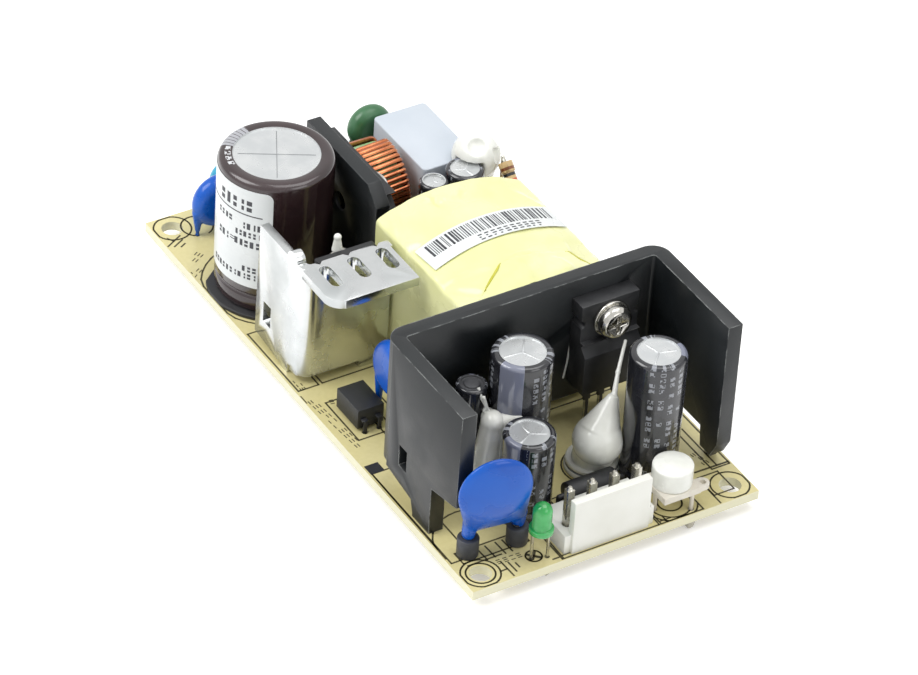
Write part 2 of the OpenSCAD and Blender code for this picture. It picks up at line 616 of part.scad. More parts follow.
// a moulded power package; side says which way its body lies from its mounting face
module mounted_package(face, y, lift, side, list) {
  bottom = top + lift;
  translate([face, y, 0]) mirror([side < 0 ? 1 : 0, 0, 0]) difference() {
    union() {
      translate([0.02, -package_w / 2, bottom])
        cube([package_t - 0.02, package_w, package_h - package_tab_h]);
      translate([0.02, -package_w / 2, bottom]) cube([package_tab_t - 0.02, package_w, package_h]);
    }
    translate([-1, 0, bottom + package_h - package_hole_down])
      rotate([0, 90, 0]) cylinder(d = screw_d + 0.2, h = package_t + 2);
    for (s = [-1, 1]) translate([-1, s * package_w / 2, bottom + package_h - package_hole_down])
      rotate([0, 90, 0]) cylinder(r = 0.7, h = package_t + 2, $fn = 24);
    translate([package_t, -package_w, bottom + package_h - package_tab_h]) rotate([0, 45, 0])
      translate([-0.5, 0, -1.5]) cube([2, 2 * package_w, 3]);
  }
  for (l = list) {
    translate([l[0] - 0.25, l[1] - 0.35, 0]) cube([0.5, 0.7, bottom + eps]);
    translate([l[0] - 0.25, l[1] - 0.6, bottom - 3.2]) cube([0.5, 1.2, 3.2 + eps]);
  }
}
module switching_transistor() color([0.12, 0.12, 0.12])
  mounted_package(bracket_x - bracket_t, transistor_y, package_lift, -1, transistor_leads);
screw_h = top + package_lift + package_h - package_hole_down;
module transistor_screw() color([0.7, 0.7, 0.72])
  translate([bracket_x - bracket_t - package_tab_t - 0.02, transistor_y, screw_h])
    screw(package_tab_t + bracket_t + 1.4);
module transistor_silicone() color([0.93, 0.92, 0.86])
  translate([
    bracket_x - bracket_t - package_tab_t - 1, transistor_y - 0.5, screw_h + head_d / 2 + 0.1
  ]) union() {
    cylinder(r1 = 0.9, r2 = 0.5, h = 2.4, $fn = 24);
    translate([0, 0, 2.4]) sphere(r = 0.62, $fn = 24);
  }

// --- transformer -------------------------------------------------------------------------------
crown_y = 3;                           // the crown's highest line across the board
crown_drops = [2.6, 3.9];              // fall of the tape's top to its two shoulders
tape_bottom = 2.5;
core_t = 3.6;
core_depth = 11.4;
core_mid_h = 13;
core_len = trafo_len - 2;
core_span = trafo_wid - 2 * tape_t - 0.3;
centre_leg_d = 9;
bobbin_w = core_span - 2 * core_t - 0.6;
flange_t = 1;
winding_d = bobbin_w - 1;
// the section of the taped transformer across the board, drawn in by some distance
module tape_outline(inset) {
  low = top + tape_bottom + inset;
  for (k = [0, 1]) {
    edge = trafo_y + k * trafo_wid + (1 - 2 * k) * inset;
    reach = abs(trafo_y + k * trafo_wid - crown_y);
    r = (reach * reach + crown_drops[k] * crown_drops[k]) / (2 * crown_drops[k]) - inset;
    intersection() {
      translate([min(edge, crown_y), low]) square([abs(edge - crown_y), trafo_h]);
      translate([crown_y, top + trafo_h - inset - r]) circle(r = r, $fn = 160);
    }
  }
}
module transformer_tape() color([0.9, 0.9, 0.55]) difference() {
  translate([trafo_x, 0, 0]) rotate([90, 0, 90]) linear_extrude(trafo_len) difference() {
    tape_outline(0);
    tape_outline(tape_t);
  }
  // open under the two pin rails
  for (x = [trafo_x - 1, trafo_x + trafo_len - 6])
    translate([x, trafo_mid[1] - bobbin_w / 2 - 0.4, 0]) cube([7, bobbin_w + 0.8, top + tape_bottom + 1]);
  // two slits where the near end of the tape is folded
  for (s = [-1, 1]) translate([trafo_x + trafo_len - 4.6, trafo_mid[1] + s * 7.5 + 1, top + trafo_h - 8])
    rotate(s * 8) translate([-3.2, -0.25, 0]) cube([6.4, 0.5, 10]);
}
module transformer_core(side) {
  gap = 0.05;
  translate([trafo_mid[0], trafo_mid[1], top + core_mid_h]) mirror([side < 0 ? 1 : 0, 0, 0]) {
    difference() {
      translate([gap, -core_span / 2, -core_depth / 2]) cube([core_len / 2 - gap, core_span, core_depth]);
      translate([-1, -core_span / 2 + core_t, -core_depth])
        cube([core_len / 2 + 1 - core_t, core_span - 2 * core_t, 2 * core_depth]);
    }
    translate([gap, 0, 0]) rotate([0, 90, 0]) cylinder(d = centre_leg_d, h = core_len / 2 - gap);
  }
}
module transformer_core_left() color([0.25, 0.25, 0.27]) transformer_core(-1);
module transformer_core_right() color([0.25, 0.25, 0.27]) transformer_core(1);
bobbin_len = core_len - 2 * core_t - 0.4;
module transformer_bobbin() color([0.15, 0.15, 0.15]) {
  translate([trafo_mid[0], trafo_mid[1], top]) difference() {
    union() {
      translate([-bobbin_len / 2, 0, core_mid_h]) rotate([0, 90, 0])
        cylinder(d = centre_leg_d + 2, h = bobbin_len);
      for (s = [-1, 1]) translate([s * (bobbin_len / 2 - flange_t / 2) - flange_t / 2, -bobbin_w / 2, 3.2])
        cube([flange_t, bobbin_w, 18.6]);
      for (s = [-1, 1]) mirror([s < 0 ? 1 : 0, 0, 0])
        translate([bobbin_len / 2 - flange_t, -bobbin_w / 2, 0.4])
          cube([core_len / 2 - bobbin_len / 2 + flange_t, bobbin_w, core_mid_h - core_depth / 2 - 0.6]);
    }
    translate([-bobbin_len, 0, core_mid_h]) rotate([0, 90, 0])
      cylinder(d = centre_leg_d + 0.2, h = 2 * bobbin_len);
  }
  leads(concat(trafo_pins_far, trafo_pins_near), 1);
}
module transformer_winding() color([0.8, 0.5, 0.25])
  translate([
    trafo_mid[0] - bobbin_len / 2 + flange_t + 0.1, trafo_mid[1], top + core_mid_h
  ]) rotate([0, 90, 0]) {
    length = bobbin_len - 2 * flange_t - 0.2;
    difference() {
      union() {
        cylinder(d = winding_d, h = length);
        for (i = [0 : 7]) translate([0, 0, (i + 0.5) * length / 8])
          cylinder(d = winding_d + 0.5, h = length / 20);
      }
      translate([0, 0, -1]) cylinder(d = centre_leg_d + 2.1, h = length + 2);
    }
  }
// a paper strip stuck over the crown of the tape
module barcode_label() color([0.97, 0.97, 0.96]) intersection() {
  translate([trafo_x, 0, 0]) rotate([90, 0, 90]) linear_extrude(trafo_len) difference() {
    tape_outline(-label_t - 0.02);
    tape_outline(-0.02);
  }
  translate([3.1, trafo_mid[1], top + trafo_h - 4.4]) rotate(4)
    translate([-2.8, -12.7, 0]) cube([5.6, 25.4, 10]);
}

// --- output end ----------------------------------------------------------------------------------
module optocoupler() color([0.12, 0.12, 0.12]) {
  translate([opto_at[0] - 3.2, opto_at[1] - 2.3, top + 0.5]) cube([6.4, 4.6, 3.5]);
  for (l = opto_leads) translate([l[0] - 0.15, l[1] - 0.3, 0]) cube([0.3, 0.6, top + 2.2]);
  for (s = [-1, 1]) for (y = [-1, 1])
    translate([opto_at[0] + s * 3.5 - 0.4, opto_at[1] + y * lead_pitch / 2 - 0.5, top + 2])
      cube([0.8, 1, 0.25]);
}
module output_heatsink() color([0.12, 0.13, 0.14]) {
  bend = 3;
  wall_bottom = top + 5;
  high = top + sink_h;
  end = sink_x + sink_wing_len;
  straight = sink_x + bend;
  difference() {
    union() {
      wall_yz(sink_x, sink_t) polygon([
        [-wing_y + bend, wall_bottom], [wing_y - bend, wall_bottom],
        [wing_y - bend, high], [-wing_y + bend, high]
      ]);
      for (s = [-1, 1]) intersection() {
        translate([straight, s * (wing_y - bend), wall_bottom]) difference() {
          cylinder(r = bend, h = sink_h - 5);
          translate([0, 0, -1]) cylinder(r = bend - sink_t, h = sink_h);
        }
        translate([sink_x - 1, s * (wing_y - bend / 2) - bend / 2 - eps, 0])
          cube([bend + 1 + eps, bend + 2 * eps, 50]);
      }
      // left wing
      wall_xz(-wing_y, sink_t) difference() {
        polygon([
          [straight - eps, top + 4.1], [30.8, top + 2.8], [31.5, top + 0.6], [31.5, top],
          [36.3, top], [36.3, top + 8.8], [end - 0.2, top + 10.2], [end, high], [straight - eps, high]
        ]);
        translate([26.9, top + 6.6]) square([2.2, 3.9]);
      }
      // right wing
      wall_xz(wing_y - sink_t, sink_t) polygon([
        [straight - eps, top + 5.5], [38.8, top + 5.5], [39.2, top + 1.8], [42, top + 1.8],
        [end, top + 4.8], [end, high], [straight - eps, high]
      ]);
      translate([38.9, wing_y - sink_t / 2, top]) cube([1.5, sink_t / 2, 2.4]);
      leads(sink_pins, 1);
    }
    translate([sink_x - 1, rectifier_y, top + rectifier_lift + package_h - package_hole_down])
      rotate([0, 90, 0]) cylinder(d = screw_d + 0.1, h = sink_t + 2);
  }
}
module output_rectifier() color([0.12, 0.12, 0.12])
  mounted_package(sink_x + sink_t, rectifier_y, rectifier_lift, 1, rectifier_leads);
washer_t = 0.6;
module rectifier_washer() color([0.72, 0.72, 0.72])
  translate([
    sink_x + sink_t + package_tab_t + 0.02, rectifier_y,
    top + rectifier_lift + package_h - package_hole_down
  ])
    rotate([0, 90, 0]) difference() {
      cylinder(d = 6.2, h = washer_t);
      translate([0, 0, -1]) cylinder(d = screw_d + 0.2, h = 3);
    }
module rectifier_screw() color([0.7, 0.7, 0.72])
  translate([
    sink_x + sink_t + package_tab_t + washer_t + 0.04, rectifier_y,
    top + rectifier_lift + package_h - package_hole_down
  ]) mirror([1, 0, 0]) screw(package_tab_t + washer_t + sink_t + 1.4);
module output_capacitor_left() color([0.12, 0.12, 0.13])
  electrolytic(left_cap_at, left_cap_d, out_cap_h, left_cap_leads);
module output_capacitor_right() color([0.12, 0.12, 0.13])
  electrolytic(right_cap_at, right_cap_d, out_cap_h, right_cap_leads);
module output_capacitor_short() color([0.12, 0.12, 0.13])
  electrolytic(short_cap_at, short_cap_d, short_cap_h, short_cap_leads);
module rod_choke() color([0.11, 0.11, 0.12]) {
  translate([rod_choke_at[0], rod_choke_at[1], top + 0.3]) difference() {
    can(rod_choke_d, rod_choke_h - 0.3, 0.5);
    translate([0, 0, rod_choke_h - 0.6]) difference() {
      cylinder(d = rod_choke_d * 0.72, h = 2);
      translate([0, 0, -1]) cylinder(d = rod_choke_d * 0.5, h = 4);
    }
  }
  leads(rod_choke_leads, 0.3 + eps);
}
module clamp_diode() color([0.12, 0.12, 0.12]) {
  axis_h = top + 0.2 + diode_d / 2;
  translate([diode_at[0], diode_at[1] + diode_len / 2, axis_h]) rotate([90, 0, 0]) {
    cylinder(d = diode_d, h = diode_len);
    translate([0, 0, -1.4]) cylinder(d = 0.9, h = diode_len + 2.8, $fn = 24);
  }
  for (l = diode_leads) translate([l[0], l[1], 0]) {
    cylinder(d = 0.9, h = axis_h, $fn = 24);
    translate([0, 0, axis_h]) sphere(d = 0.9, $fn = 24);
  }
}
// a cone of silicone drawn up into a thread that reaches the rectifier's screw
cone_drop = [35.3, 5.7, top + 6.2];
cone_neck = [34.1, 8.8, top + 12.8];
thread_bend = [31.5, 11, top + 14.6];
thread_tip = [28.7, 13.9, top + 17.9];
module silicone_cone() color([0.95, 0.95, 0.92]) difference() {
  union() {
    translate([cone_at[0], cone_at[1], top + 0.02]) {
      cylinder(r = cone_r, h = 0.9);
      translate([0, 0, 0.9 - eps]) cylinder(r1 = cone_r, r2 = cone_r - 0.5, h = 0.6);
    }
    rod([cone_at[0], cone_at[1], top + 1.2], cone_drop, cone_r - 0.7, cone_r - 0.6);
    translate(cone_drop) sphere(r = cone_r);
    rod(cone_drop + [-0.2, 0.4, 1.6], cone_neck, cone_r - 0.6, 0.8);
    rod(cone_neck - [0, 0, 0.4], thread_bend, 0.5, 0.35);
    translate(thread_bend) sphere(r = 0.45, $fn = 24);
    rod(thread_bend, thread_tip, 0.36, 0.3);
  }
  translate([right_cap_at[0], right_cap_at[1], 0]) cylinder(d = right_cap_d + 0.2, h = 60);
}
// silicone between the rod choke and two capacitors, with a thread to the choke's top
module silicone_strip() color([0.95, 0.95, 0.92]) difference() {
  union() {
    rod([31.8, -12.4, top + 0.02], [31.2, -10.8, top + 12.8], 3, 1.9);
    translate([31.2, -10.8, top + 12.8]) sphere(r = 2);
    rod([29.9, -11, top + 13.3], [33.3, -7.8, top + 13.2], 1.1, 1);
    translate([29.9, -11, top + 13.3]) sphere(r = 1.2, $fn = 24);
    rod([30, -11.2, top + 14], [29.8, -12, top + 17.2], 0.4, 0.3);
  }
  for (c = [
    [left_cap_at, left_cap_d], [short_cap_at, short_cap_d], [rod_choke_at, rod_choke_d]
  ]) translate([c[0][0], c[0][1], 0]) cylinder(d = c[1] + 0.2, h = 60);
  translate([20, -30, 0]) cube([30, 30, top + 0.02]);
}
module output_header() color([0.93, 0.93, 0.9]) header(out_header_y, 4, 1);
module output_pins() color([0.75, 0.75, 0.72]) square_pins(out_pins);
module indicator_lamp() color([0.1, 0.7, 0.25]) {
  translate([lamp_at[0], lamp_at[1], top + 5.2]) {
    cylinder(d = lamp_d + 0.8, h = 0.9);
    cylinder(d = lamp_d, h = 5.4 - lamp_d / 2);
    translate([0, 0, 5.4 - lamp_d / 2]) sphere(d = lamp_d);
  }
  leads(lamp_leads, 5.3);
}
module output_disc_capacitor() color([0.1, 0.35, 0.8]) {
  axis = [sin(90 - out_disc_turn), cos(90 - out_disc_turn), 0];
  low = top + sleeve_h + 0.6;
  for (i = [0, 1]) rod(
    [out_disc_legs[i][0], out_disc_legs[i][1], low],
    [out_disc_at[0], out_disc_at[1], top + out_disc_centre_h - 3.4] + (2 * i - 1) * 2.6 * axis,
    1, 1.4
  );
  translate([out_disc_at[0], out_disc_at[1], top + out_disc_centre_h]) rotate(out_disc_turn - 90)
    disc(out_disc_d, out_disc_t);
  leads(out_disc_leads, sleeve_h + 1.2);
}
module disc_capacitor_sleeves() color([0.16, 0.16, 0.18])
  for (l = out_disc_leads) translate([l[0], l[1], top + 0.02]) difference() {
    cylinder(d = sleeve_d, h = sleeve_h);
    translate([0, 0, -1]) cylinder(d = l[2] + 0.1, h = sleeve_h + 2, $fn = 24);
  }
module trimmer() color([0.75, 0.72, 0.66]) {
  translate([trimmer_at[0] - trimmer_w / 2, trimmer_at[1] - trimmer_w / 2, top + trimmer_lift])
    cube([trimmer_w, trimmer_w, 1.1]);
  translate([
    trimmer_at[0] + trimmer_w / 2 - 1.1, trimmer_at[1] + trimmer_w / 2 - 0.4, top + trimmer_lift + 0.2
  ])
    difference() {
      union() {
        translate([-1.1, 0, 0]) cube([2.2, 1.3, 0.8]);
        translate([0, 1.3, 0]) cylinder(d = 2.2, h = 0.8);
      }
      translate([0, 1.4, -1]) cylinder(d = 1, h = 3);
    }
  leads(trimmer_leads, trimmer_lift + eps);
}
module trimmer_silicone() color([0.93, 0.93, 0.93])
  translate([trimmer_at[0], trimmer_at[1], top + trimmer_lift + 1.12]) {
    cylinder(r = 3.2, h = 3.2);
    intersection() {
      translate([0, 0, 3.9 - 12]) sphere(r = 12, $fn = 96);
      cylinder(r = 3.2, h = 5);
    }
  }

circuit_board();
solder_joints();
controller_chip();
chip_resistors();
input_header();
input_pins();
fuse();
varistor();
input_disc_capacitor();
line_disc_capacitor();
bridging_disc_capacitor();
choke_core();
choke_winding_left();
choke_winding_right();
box_capacitor();
bridge_rectifier();
bridge_heatsink();
bridge_screw();
bulk_capacitor();
bulk_insulator();
rating_label();
primary_bracket();
switching_transistor();
transistor_screw();
transistor_silicone();
supply_capacitor_small();
supply_capacitor_large();
film_resistor();
filter_silicone();
transformer_core_left();
transformer_core_right();
transformer_bobbin();
transformer_winding();
transformer_tape();
barcode_label();
optocoupler();
output_heatsink();
output_rectifier();
rectifier_screw();
rectifier_washer();
output_capacitor_left();
output_capacitor_right();
output_capacitor_short();
rod_choke();
clamp_diode();
silicone_cone();
silicone_strip();
output_header();
output_pins();
indicator_lamp();
output_disc_capacitor();
disc_capacitor_sleeves();
trimmer();
trimmer_silicone();
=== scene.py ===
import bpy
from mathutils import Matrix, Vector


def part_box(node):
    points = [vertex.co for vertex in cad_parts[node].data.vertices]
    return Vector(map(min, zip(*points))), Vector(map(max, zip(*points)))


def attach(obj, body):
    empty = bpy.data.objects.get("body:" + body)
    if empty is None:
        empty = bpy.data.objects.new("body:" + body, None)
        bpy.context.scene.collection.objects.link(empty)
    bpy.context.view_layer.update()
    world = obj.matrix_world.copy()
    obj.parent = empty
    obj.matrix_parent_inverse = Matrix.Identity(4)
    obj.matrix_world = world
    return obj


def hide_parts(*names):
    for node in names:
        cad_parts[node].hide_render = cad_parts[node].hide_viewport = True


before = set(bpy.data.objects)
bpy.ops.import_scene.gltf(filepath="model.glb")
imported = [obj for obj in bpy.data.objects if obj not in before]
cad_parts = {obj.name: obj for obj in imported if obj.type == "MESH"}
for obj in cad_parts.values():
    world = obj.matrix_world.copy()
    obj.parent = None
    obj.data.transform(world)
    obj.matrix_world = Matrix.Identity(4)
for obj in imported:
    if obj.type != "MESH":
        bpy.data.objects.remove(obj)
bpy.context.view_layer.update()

import math
import random

import bpy
from mathutils import Matrix, Vector

# %% [markdown]
# ## Units and the board's upper face
# The frame is in metres and a part this small is thought of in millimetres, so lengths are
# written in millimetres and turned once. Heights are counted from the board's upper face,
# because everything stands on it.
# %% Millimetres above the board
MM = 0.001
board_low, board_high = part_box("circuit_board")
TOP = board_high.z / MM


def place(x, y, z=0.0):
    """a point in metres from millimetres, with its height above the board"""
    return Vector((x, y, z + TOP)) * MM


print("the board's upper face is", round(TOP, 2), "mm above the lead tips")

# %% [markdown]
# ## Working on one piece at a time
# An operator acts on everything that is selected, so each step first clears the selection,
# then takes one object. The same few moves come back for every part: take it up, go into edit
# mode, pick faces by where they are, and come out again.
# %% Small helpers for operators
def take(*objects):
    """leave edit mode, and select only these"""
    if bpy.context.object and bpy.context.object.mode != "OBJECT":
        bpy.ops.object.mode_set(mode="OBJECT")
    bpy.ops.object.select_all(action="DESELECT")
    for item in objects:
        item.select_set(True)
    bpy.context.view_layer.objects.active = objects[0] if objects else None
    return objects[0] if objects else None


def settle(piece, name):
    """put the place into the mesh, so that the object sits at the origin"""
    take(piece)
    bpy.ops.object.transform_apply(location=True, rotation=True, scale=True)
    piece.name = name
    piece.data.name = name
    return piece


def choose_faces(piece, wanted):
    """select the faces for which wanted(centre, normal) is true"""
    take(piece)
    bpy.ops.object.mode_set(mode="EDIT")
    bpy.ops.mesh.select_mode(type="FACE")
    bpy.ops.mesh.select_all(action="DESELECT")
    bpy.ops.object.mode_set(mode="OBJECT")
    for face in piece.data.polygons:
        face.select = bool(wanted(face.center, face.normal))
    bpy.ops.object.mode_set(mode="EDIT")


def apply(piece, kind, **settings):
    """add one modifier, set it and apply it"""
    take(piece)
    modifier = piece.modifiers.new(kind.lower(), kind)
    for key, value in settings.items():
        setattr(modifier, key, value)
    bpy.ops.object.modifier_apply(modifier=modifier.name)


def join(name, *parts):
    """make one mesh of several"""
    take(*parts)
    if len(parts) > 1:
        bpy.ops.object.join()
    return settle(bpy.context.object, name)


def smooth(piece, angle=35):
    """smooth shading, with corners sharper than the angle kept crisp"""
    take(piece)
    bpy.ops.object.shade_smooth_by_angle(angle=math.radians(angle))
    return piece


def outward(piece):
    """turn every face outwards"""
    take(piece)
    bpy.ops.object.mode_set(mode="EDIT")
    bpy.ops.mesh.select_all(action="SELECT")
    bpy.ops.mesh.remove_doubles(threshold=1e-6)
    bpy.ops.mesh.normals_make_consistent(inside=False)
    bpy.ops.object.mode_set(mode="OBJECT")
    return piece


print("helpers are ready")

# %% [markdown]
# ## The camera
# A long lens from far away keeps the board's edges nearly parallel, as in a catalogue picture.
# The camera stands off one corner, about 38 degrees up, and leans a little to one side.
# %% A long lens off the output corner
camera_data = bpy.data.cameras.new("camera")
camera_data.sensor_width = 36.0
camera_data.lens = 207.81
camera_data.clip_end = 10.0
camera = bpy.data.objects.new("camera", camera_data)
bpy.context.scene.collection.objects.link(camera)
look_right = Vector((0.51576108, 0.85510846, 0.05272605))
look_up = Vector((-0.55107983, 0.28400469, 0.78463517))
look_back = Vector((0.65597373, -0.43374055, 0.61771159))
camera.matrix_world = Matrix.Translation(place(542.475, -356.066, 513.024)) @ Matrix(
    (look_right, look_up, look_back)
).transposed().to_4x4()
bpy.context.scene.camera = camera
print("the camera is", round(camera.location.length, 3), "m from the board's middle")

# %% [markdown]
# ## Floor and light
# A white table and a wide soft light show small parts best. The floor is plain and pale. A
# share of glow that only the camera and mirrors see lifts it to white where it is fully lit, so
# that the colour of the parts stays as it is and their soft shadow is kept.
# %% Light, floor and backdrop
scene = bpy.context.scene
scene.view_settings.view_transform = "Standard"


def paint(red, green, blue):
    """a display colour, 0 to 255, as the linear colour that a shader takes"""
    parts = [c / 255 for c in (red, green, blue)]
    return [c / 12.92 if c <= 0.04045 else ((c + 0.055) / 1.055) ** 2.4 for c in parts] + [1.0]


def node(tree, kind, inputs=None, **settings):
    """one shader node, with plain values or other nodes' outputs on its inputs"""
    made = tree.nodes.new("ShaderNode" + kind)
    for key, value in settings.items():
        setattr(made, key, value)
    for key, value in (inputs or {}).items():
        if isinstance(value, bpy.types.NodeSocket):
            tree.links.new(value, made.inputs[key])
        else:
            made.inputs[key].default_value = value
    return made


def seen_directly(tree):
    """1 for what the camera sees itself, in a mirror or through clear plastic"""
    path = node(tree, "LightPath")
    seen = node(tree, "Math", {0: path.outputs["Is Camera Ray"], 1: path.outputs["Is Glossy Ray"]}, operation="MAXIMUM")
    return node(tree, "Math", {0: seen.outputs[0], 1: path.outputs["Is Transmission Ray"]}, operation="MAXIMUM").outputs[0]


world = bpy.data.worlds.new("studio")
world.use_nodes = True
scene.world = world
sky = world.node_tree
sky.nodes.clear()
direct = seen_directly(sky)
strength = node(sky, "MapRange", {"Value": direct, "To Min": 0.54, "To Max": 1.0})
background = node(sky, "Background", {"Color": (1, 1, 1, 1), "Strength": strength.outputs[0]})
world_out = node(sky, "OutputWorld", {"Surface": background.outputs[0]})


def soft_box(name, where, towards, size, power):
    """a square soft light that faces a point"""
    data = bpy.data.lights.new(name, "AREA")
    data.size = size
    data.energy = power
    lamp = bpy.data.objects.new(name, data)
    scene.collection.objects.link(lamp)
    lamp.location = where
    lamp.rotation_euler = (Vector(towards) - Vector(where)).to_track_quat("-Z", "Y").to_euler()
    return lamp


soft_box("key_light", (-0.25, -0.6, 0.75), (0, 0, 0), 0.6, 6.6)
soft_box("top_light", (0.1, 0.25, 0.95), (0, 0, 0), 0.7, 4.2)
soft_box("front_light", (0.9, 0.25, 0.5), (0, 0, 0), 0.5, 1.6)

bpy.ops.mesh.primitive_plane_add(size=6, location=(0, 0, 0))
floor = settle(bpy.context.object, "floor")
floor_material = bpy.data.materials.new("pale_table")
floor_material.use_nodes = True
floor_tree = floor_material.node_tree
floor_tree.nodes.clear()
matt = node(floor_tree, "BsdfDiffuse", {"Color": (0.86, 0.86, 0.86, 1)})
glow = node(floor_tree, "Emission", {"Color": (1, 1, 1, 1)})
lift = node(floor_tree, "Math", {0: seen_directly(floor_tree), 1: 0.36}, operation="MULTIPLY")
floor_tree.links.new(lift.outputs[0], glow.inputs["Strength"])
both = node(floor_tree, "AddShader", {0: matt.outputs[0], 1: glow.outputs[0]})
node(floor_tree, "OutputMaterial", {"Surface": both.outputs[0]})
floor.data.materials.append(floor_material)
print("three soft lights and a pale floor")

# %% [markdown]
# ## Effects that several finishes share
# Worn edges, uneven tone and fine grain come back on metal, plastic and lacquer alike. Each is a
# group with named inputs, built once, so that every finish sets its own scale and strength. A
# group gives only masks and values; the shader itself stays in the finish.
# %% Groups for uneven tone, worn edges and rows of print
def new_group(name, inputs, outputs):
    """an empty shader group with its sockets, and its two end nodes"""
    group = bpy.data.node_groups.new(name, "ShaderNodeTree")
    for label, kind, value in inputs:
        group.interface.new_socket(label, in_out="INPUT", socket_type=kind).default_value = value
    for label in outputs:
        group.interface.new_socket(label, in_out="OUTPUT", socket_type="NodeSocketFloat")
    return group, group.nodes.new("NodeGroupInput"), group.nodes.new("NodeGroupOutput")


def calc(tree, operation, a, b=0.0, c=0.0):
    """one sum, product or comparison"""
    return node(tree, "Math", {0: a, 1: b, 2: c}, operation=operation).outputs[0]


def band(tree, value, low, high, start=0.0, end=1.0):
    """a smooth step of a value from start to end"""
    inputs = {"Value": value, "From Min": low, "From Max": high, "To Min": start, "To Max": end}
    return node(tree, "MapRange", inputs, interpolation_type="SMOOTHSTEP").outputs[0]


def noise(tree, scale, detail=3.0, vector=None):
    """soft noise over the piece, its scale in waves per metre"""
    spot = vector or node(tree, "TexCoord").outputs["Object"]
    return node(tree, "TexNoise", {"Vector": spot, "Scale": scale, "Detail": detail}).outputs["Fac"]


tone_group, tone_in, tone_out = new_group(
    "uneven_tone",
    [("Patches", "NodeSocketFloat", 150.0), ("Grain", "NodeSocketFloat", 3000.0)],
    ["Tone", "Fine"],
)
patches = noise(tone_group, tone_in.outputs["Patches"], 4)
fine = noise(tone_group, tone_in.outputs["Grain"], 2)
tone_group.links.new(band(tone_group, patches, 0.3, 0.7), tone_out.inputs["Tone"])
tone_group.links.new(fine, tone_out.inputs["Fine"])

wear_group, wear_in, wear_out = new_group(
    "worn_edges",
    [("Width", "NodeSocketFloat", 0.0003), ("Breaks", "NodeSocketFloat", 500.0)],
    ["Mask"],
)
rounded = node(wear_group, "Bevel", {"Radius": wear_in.outputs["Width"]}, samples=6)
flat = node(wear_group, "NewGeometry")
facing = node(
    wear_group, "VectorMath", {0: rounded.outputs[0], 1: flat.outputs["Normal"]}, operation="DOT_PRODUCT"
)
turned = calc(wear_group, "SUBTRACT", 1.0, facing.outputs["Value"])
broken = band(wear_group, noise(wear_group, wear_in.outputs["Breaks"], 5), 0.38, 0.62)
edge = calc(wear_group, "MULTIPLY", band(wear_group, turned, 0.02, 0.16), broken)
wear_group.links.new(edge, wear_out.inputs["Mask"])

print_group, print_in, print_out = new_group(
    "rows_of_print",
    [
        ("Along", "NodeSocketFloat", 0.0),
        ("Across", "NodeSocketFloat", 0.0),
        ("Row", "NodeSocketFloat", 0.002),
        ("Letter", "NodeSocketFloat", 0.001),
        ("Share", "NodeSocketFloat", 0.6),
    ],
    ["Mask"],
)
row = calc(print_group, "DIVIDE", print_in.outputs["Across"], print_in.outputs["Row"])
cell = calc(print_group, "DIVIDE", print_in.outputs["Along"], print_in.outputs["Letter"])
in_row = calc(print_group, "FRACT", row)
in_cell = calc(print_group, "FRACT", cell)
row_band = calc(print_group, "LESS_THAN", calc(print_group, "ABSOLUTE", calc(print_group, "SUBTRACT", in_row, 0.5)), 0.27)
cell_band = calc(print_group, "LESS_THAN", calc(print_group, "ABSOLUTE", calc(print_group, "SUBTRACT", in_cell, 0.5)), 0.34)
whole = node(
    print_group, "CombineXYZ",
    {0: calc(print_group, "FLOOR", row), 1: calc(print_group, "FLOOR", cell)},
)
printed = calc(
    print_group, "LESS_THAN",
    node(print_group, "TexWhiteNoise", {"Vector": whole.outputs[0]}, noise_dimensions="3D").outputs["Value"],
    print_in.outputs["Share"],
)
stroke_at = node(
    print_group, "CombineXYZ",
    {0: calc(print_group, "FLOOR", calc(print_group, "MULTIPLY", row, 7.0)), 1: calc(print_group, "FLOOR", calc(print_group, "MULTIPLY", cell, 3.0))},
)
strokes = calc(
    print_group, "LESS_THAN",
    node(print_group, "TexWhiteNoise", {"Vector": stroke_at.outputs[0]}, noise_dimensions="3D").outputs["Value"],
    0.72,
)
mark = calc(print_group, "MULTIPLY", calc(print_group, "MULTIPLY", row_band, cell_band), calc(print_group, "MULTIPLY", printed, strokes))
print_group.links.new(mark, print_out.inputs["Mask"])
print("shared effects:", [g.name for g in bpy.data.node_groups])

# %% [markdown]
# ## How a finish is mixed
# Most finishes here follow one recipe: two close tones that drift into each other, a second
# colour where edges are rubbed, a roughness that isn't quite even, and a grain that lifts the
# surface by a few hundredths of a millimetre. Plain numbers go straight onto the shader.
# %% The recipe for a finish
def use(tree, group, **values):
    """place a shared effect and set its inputs"""
    placed = node(tree, "Group", node_tree=group)
    for key, value in values.items():
        if isinstance(value, bpy.types.NodeSocket):
            tree.links.new(value, placed.inputs[key])
        else:
            placed.inputs[key].default_value = value
    return placed.outputs


def layer(tree, mask, under, over):
    """one colour over another where the mask is 1"""
    return node(tree, "Mix", {0: mask, 6: under, 7: over}, data_type="RGBA").outputs[2]


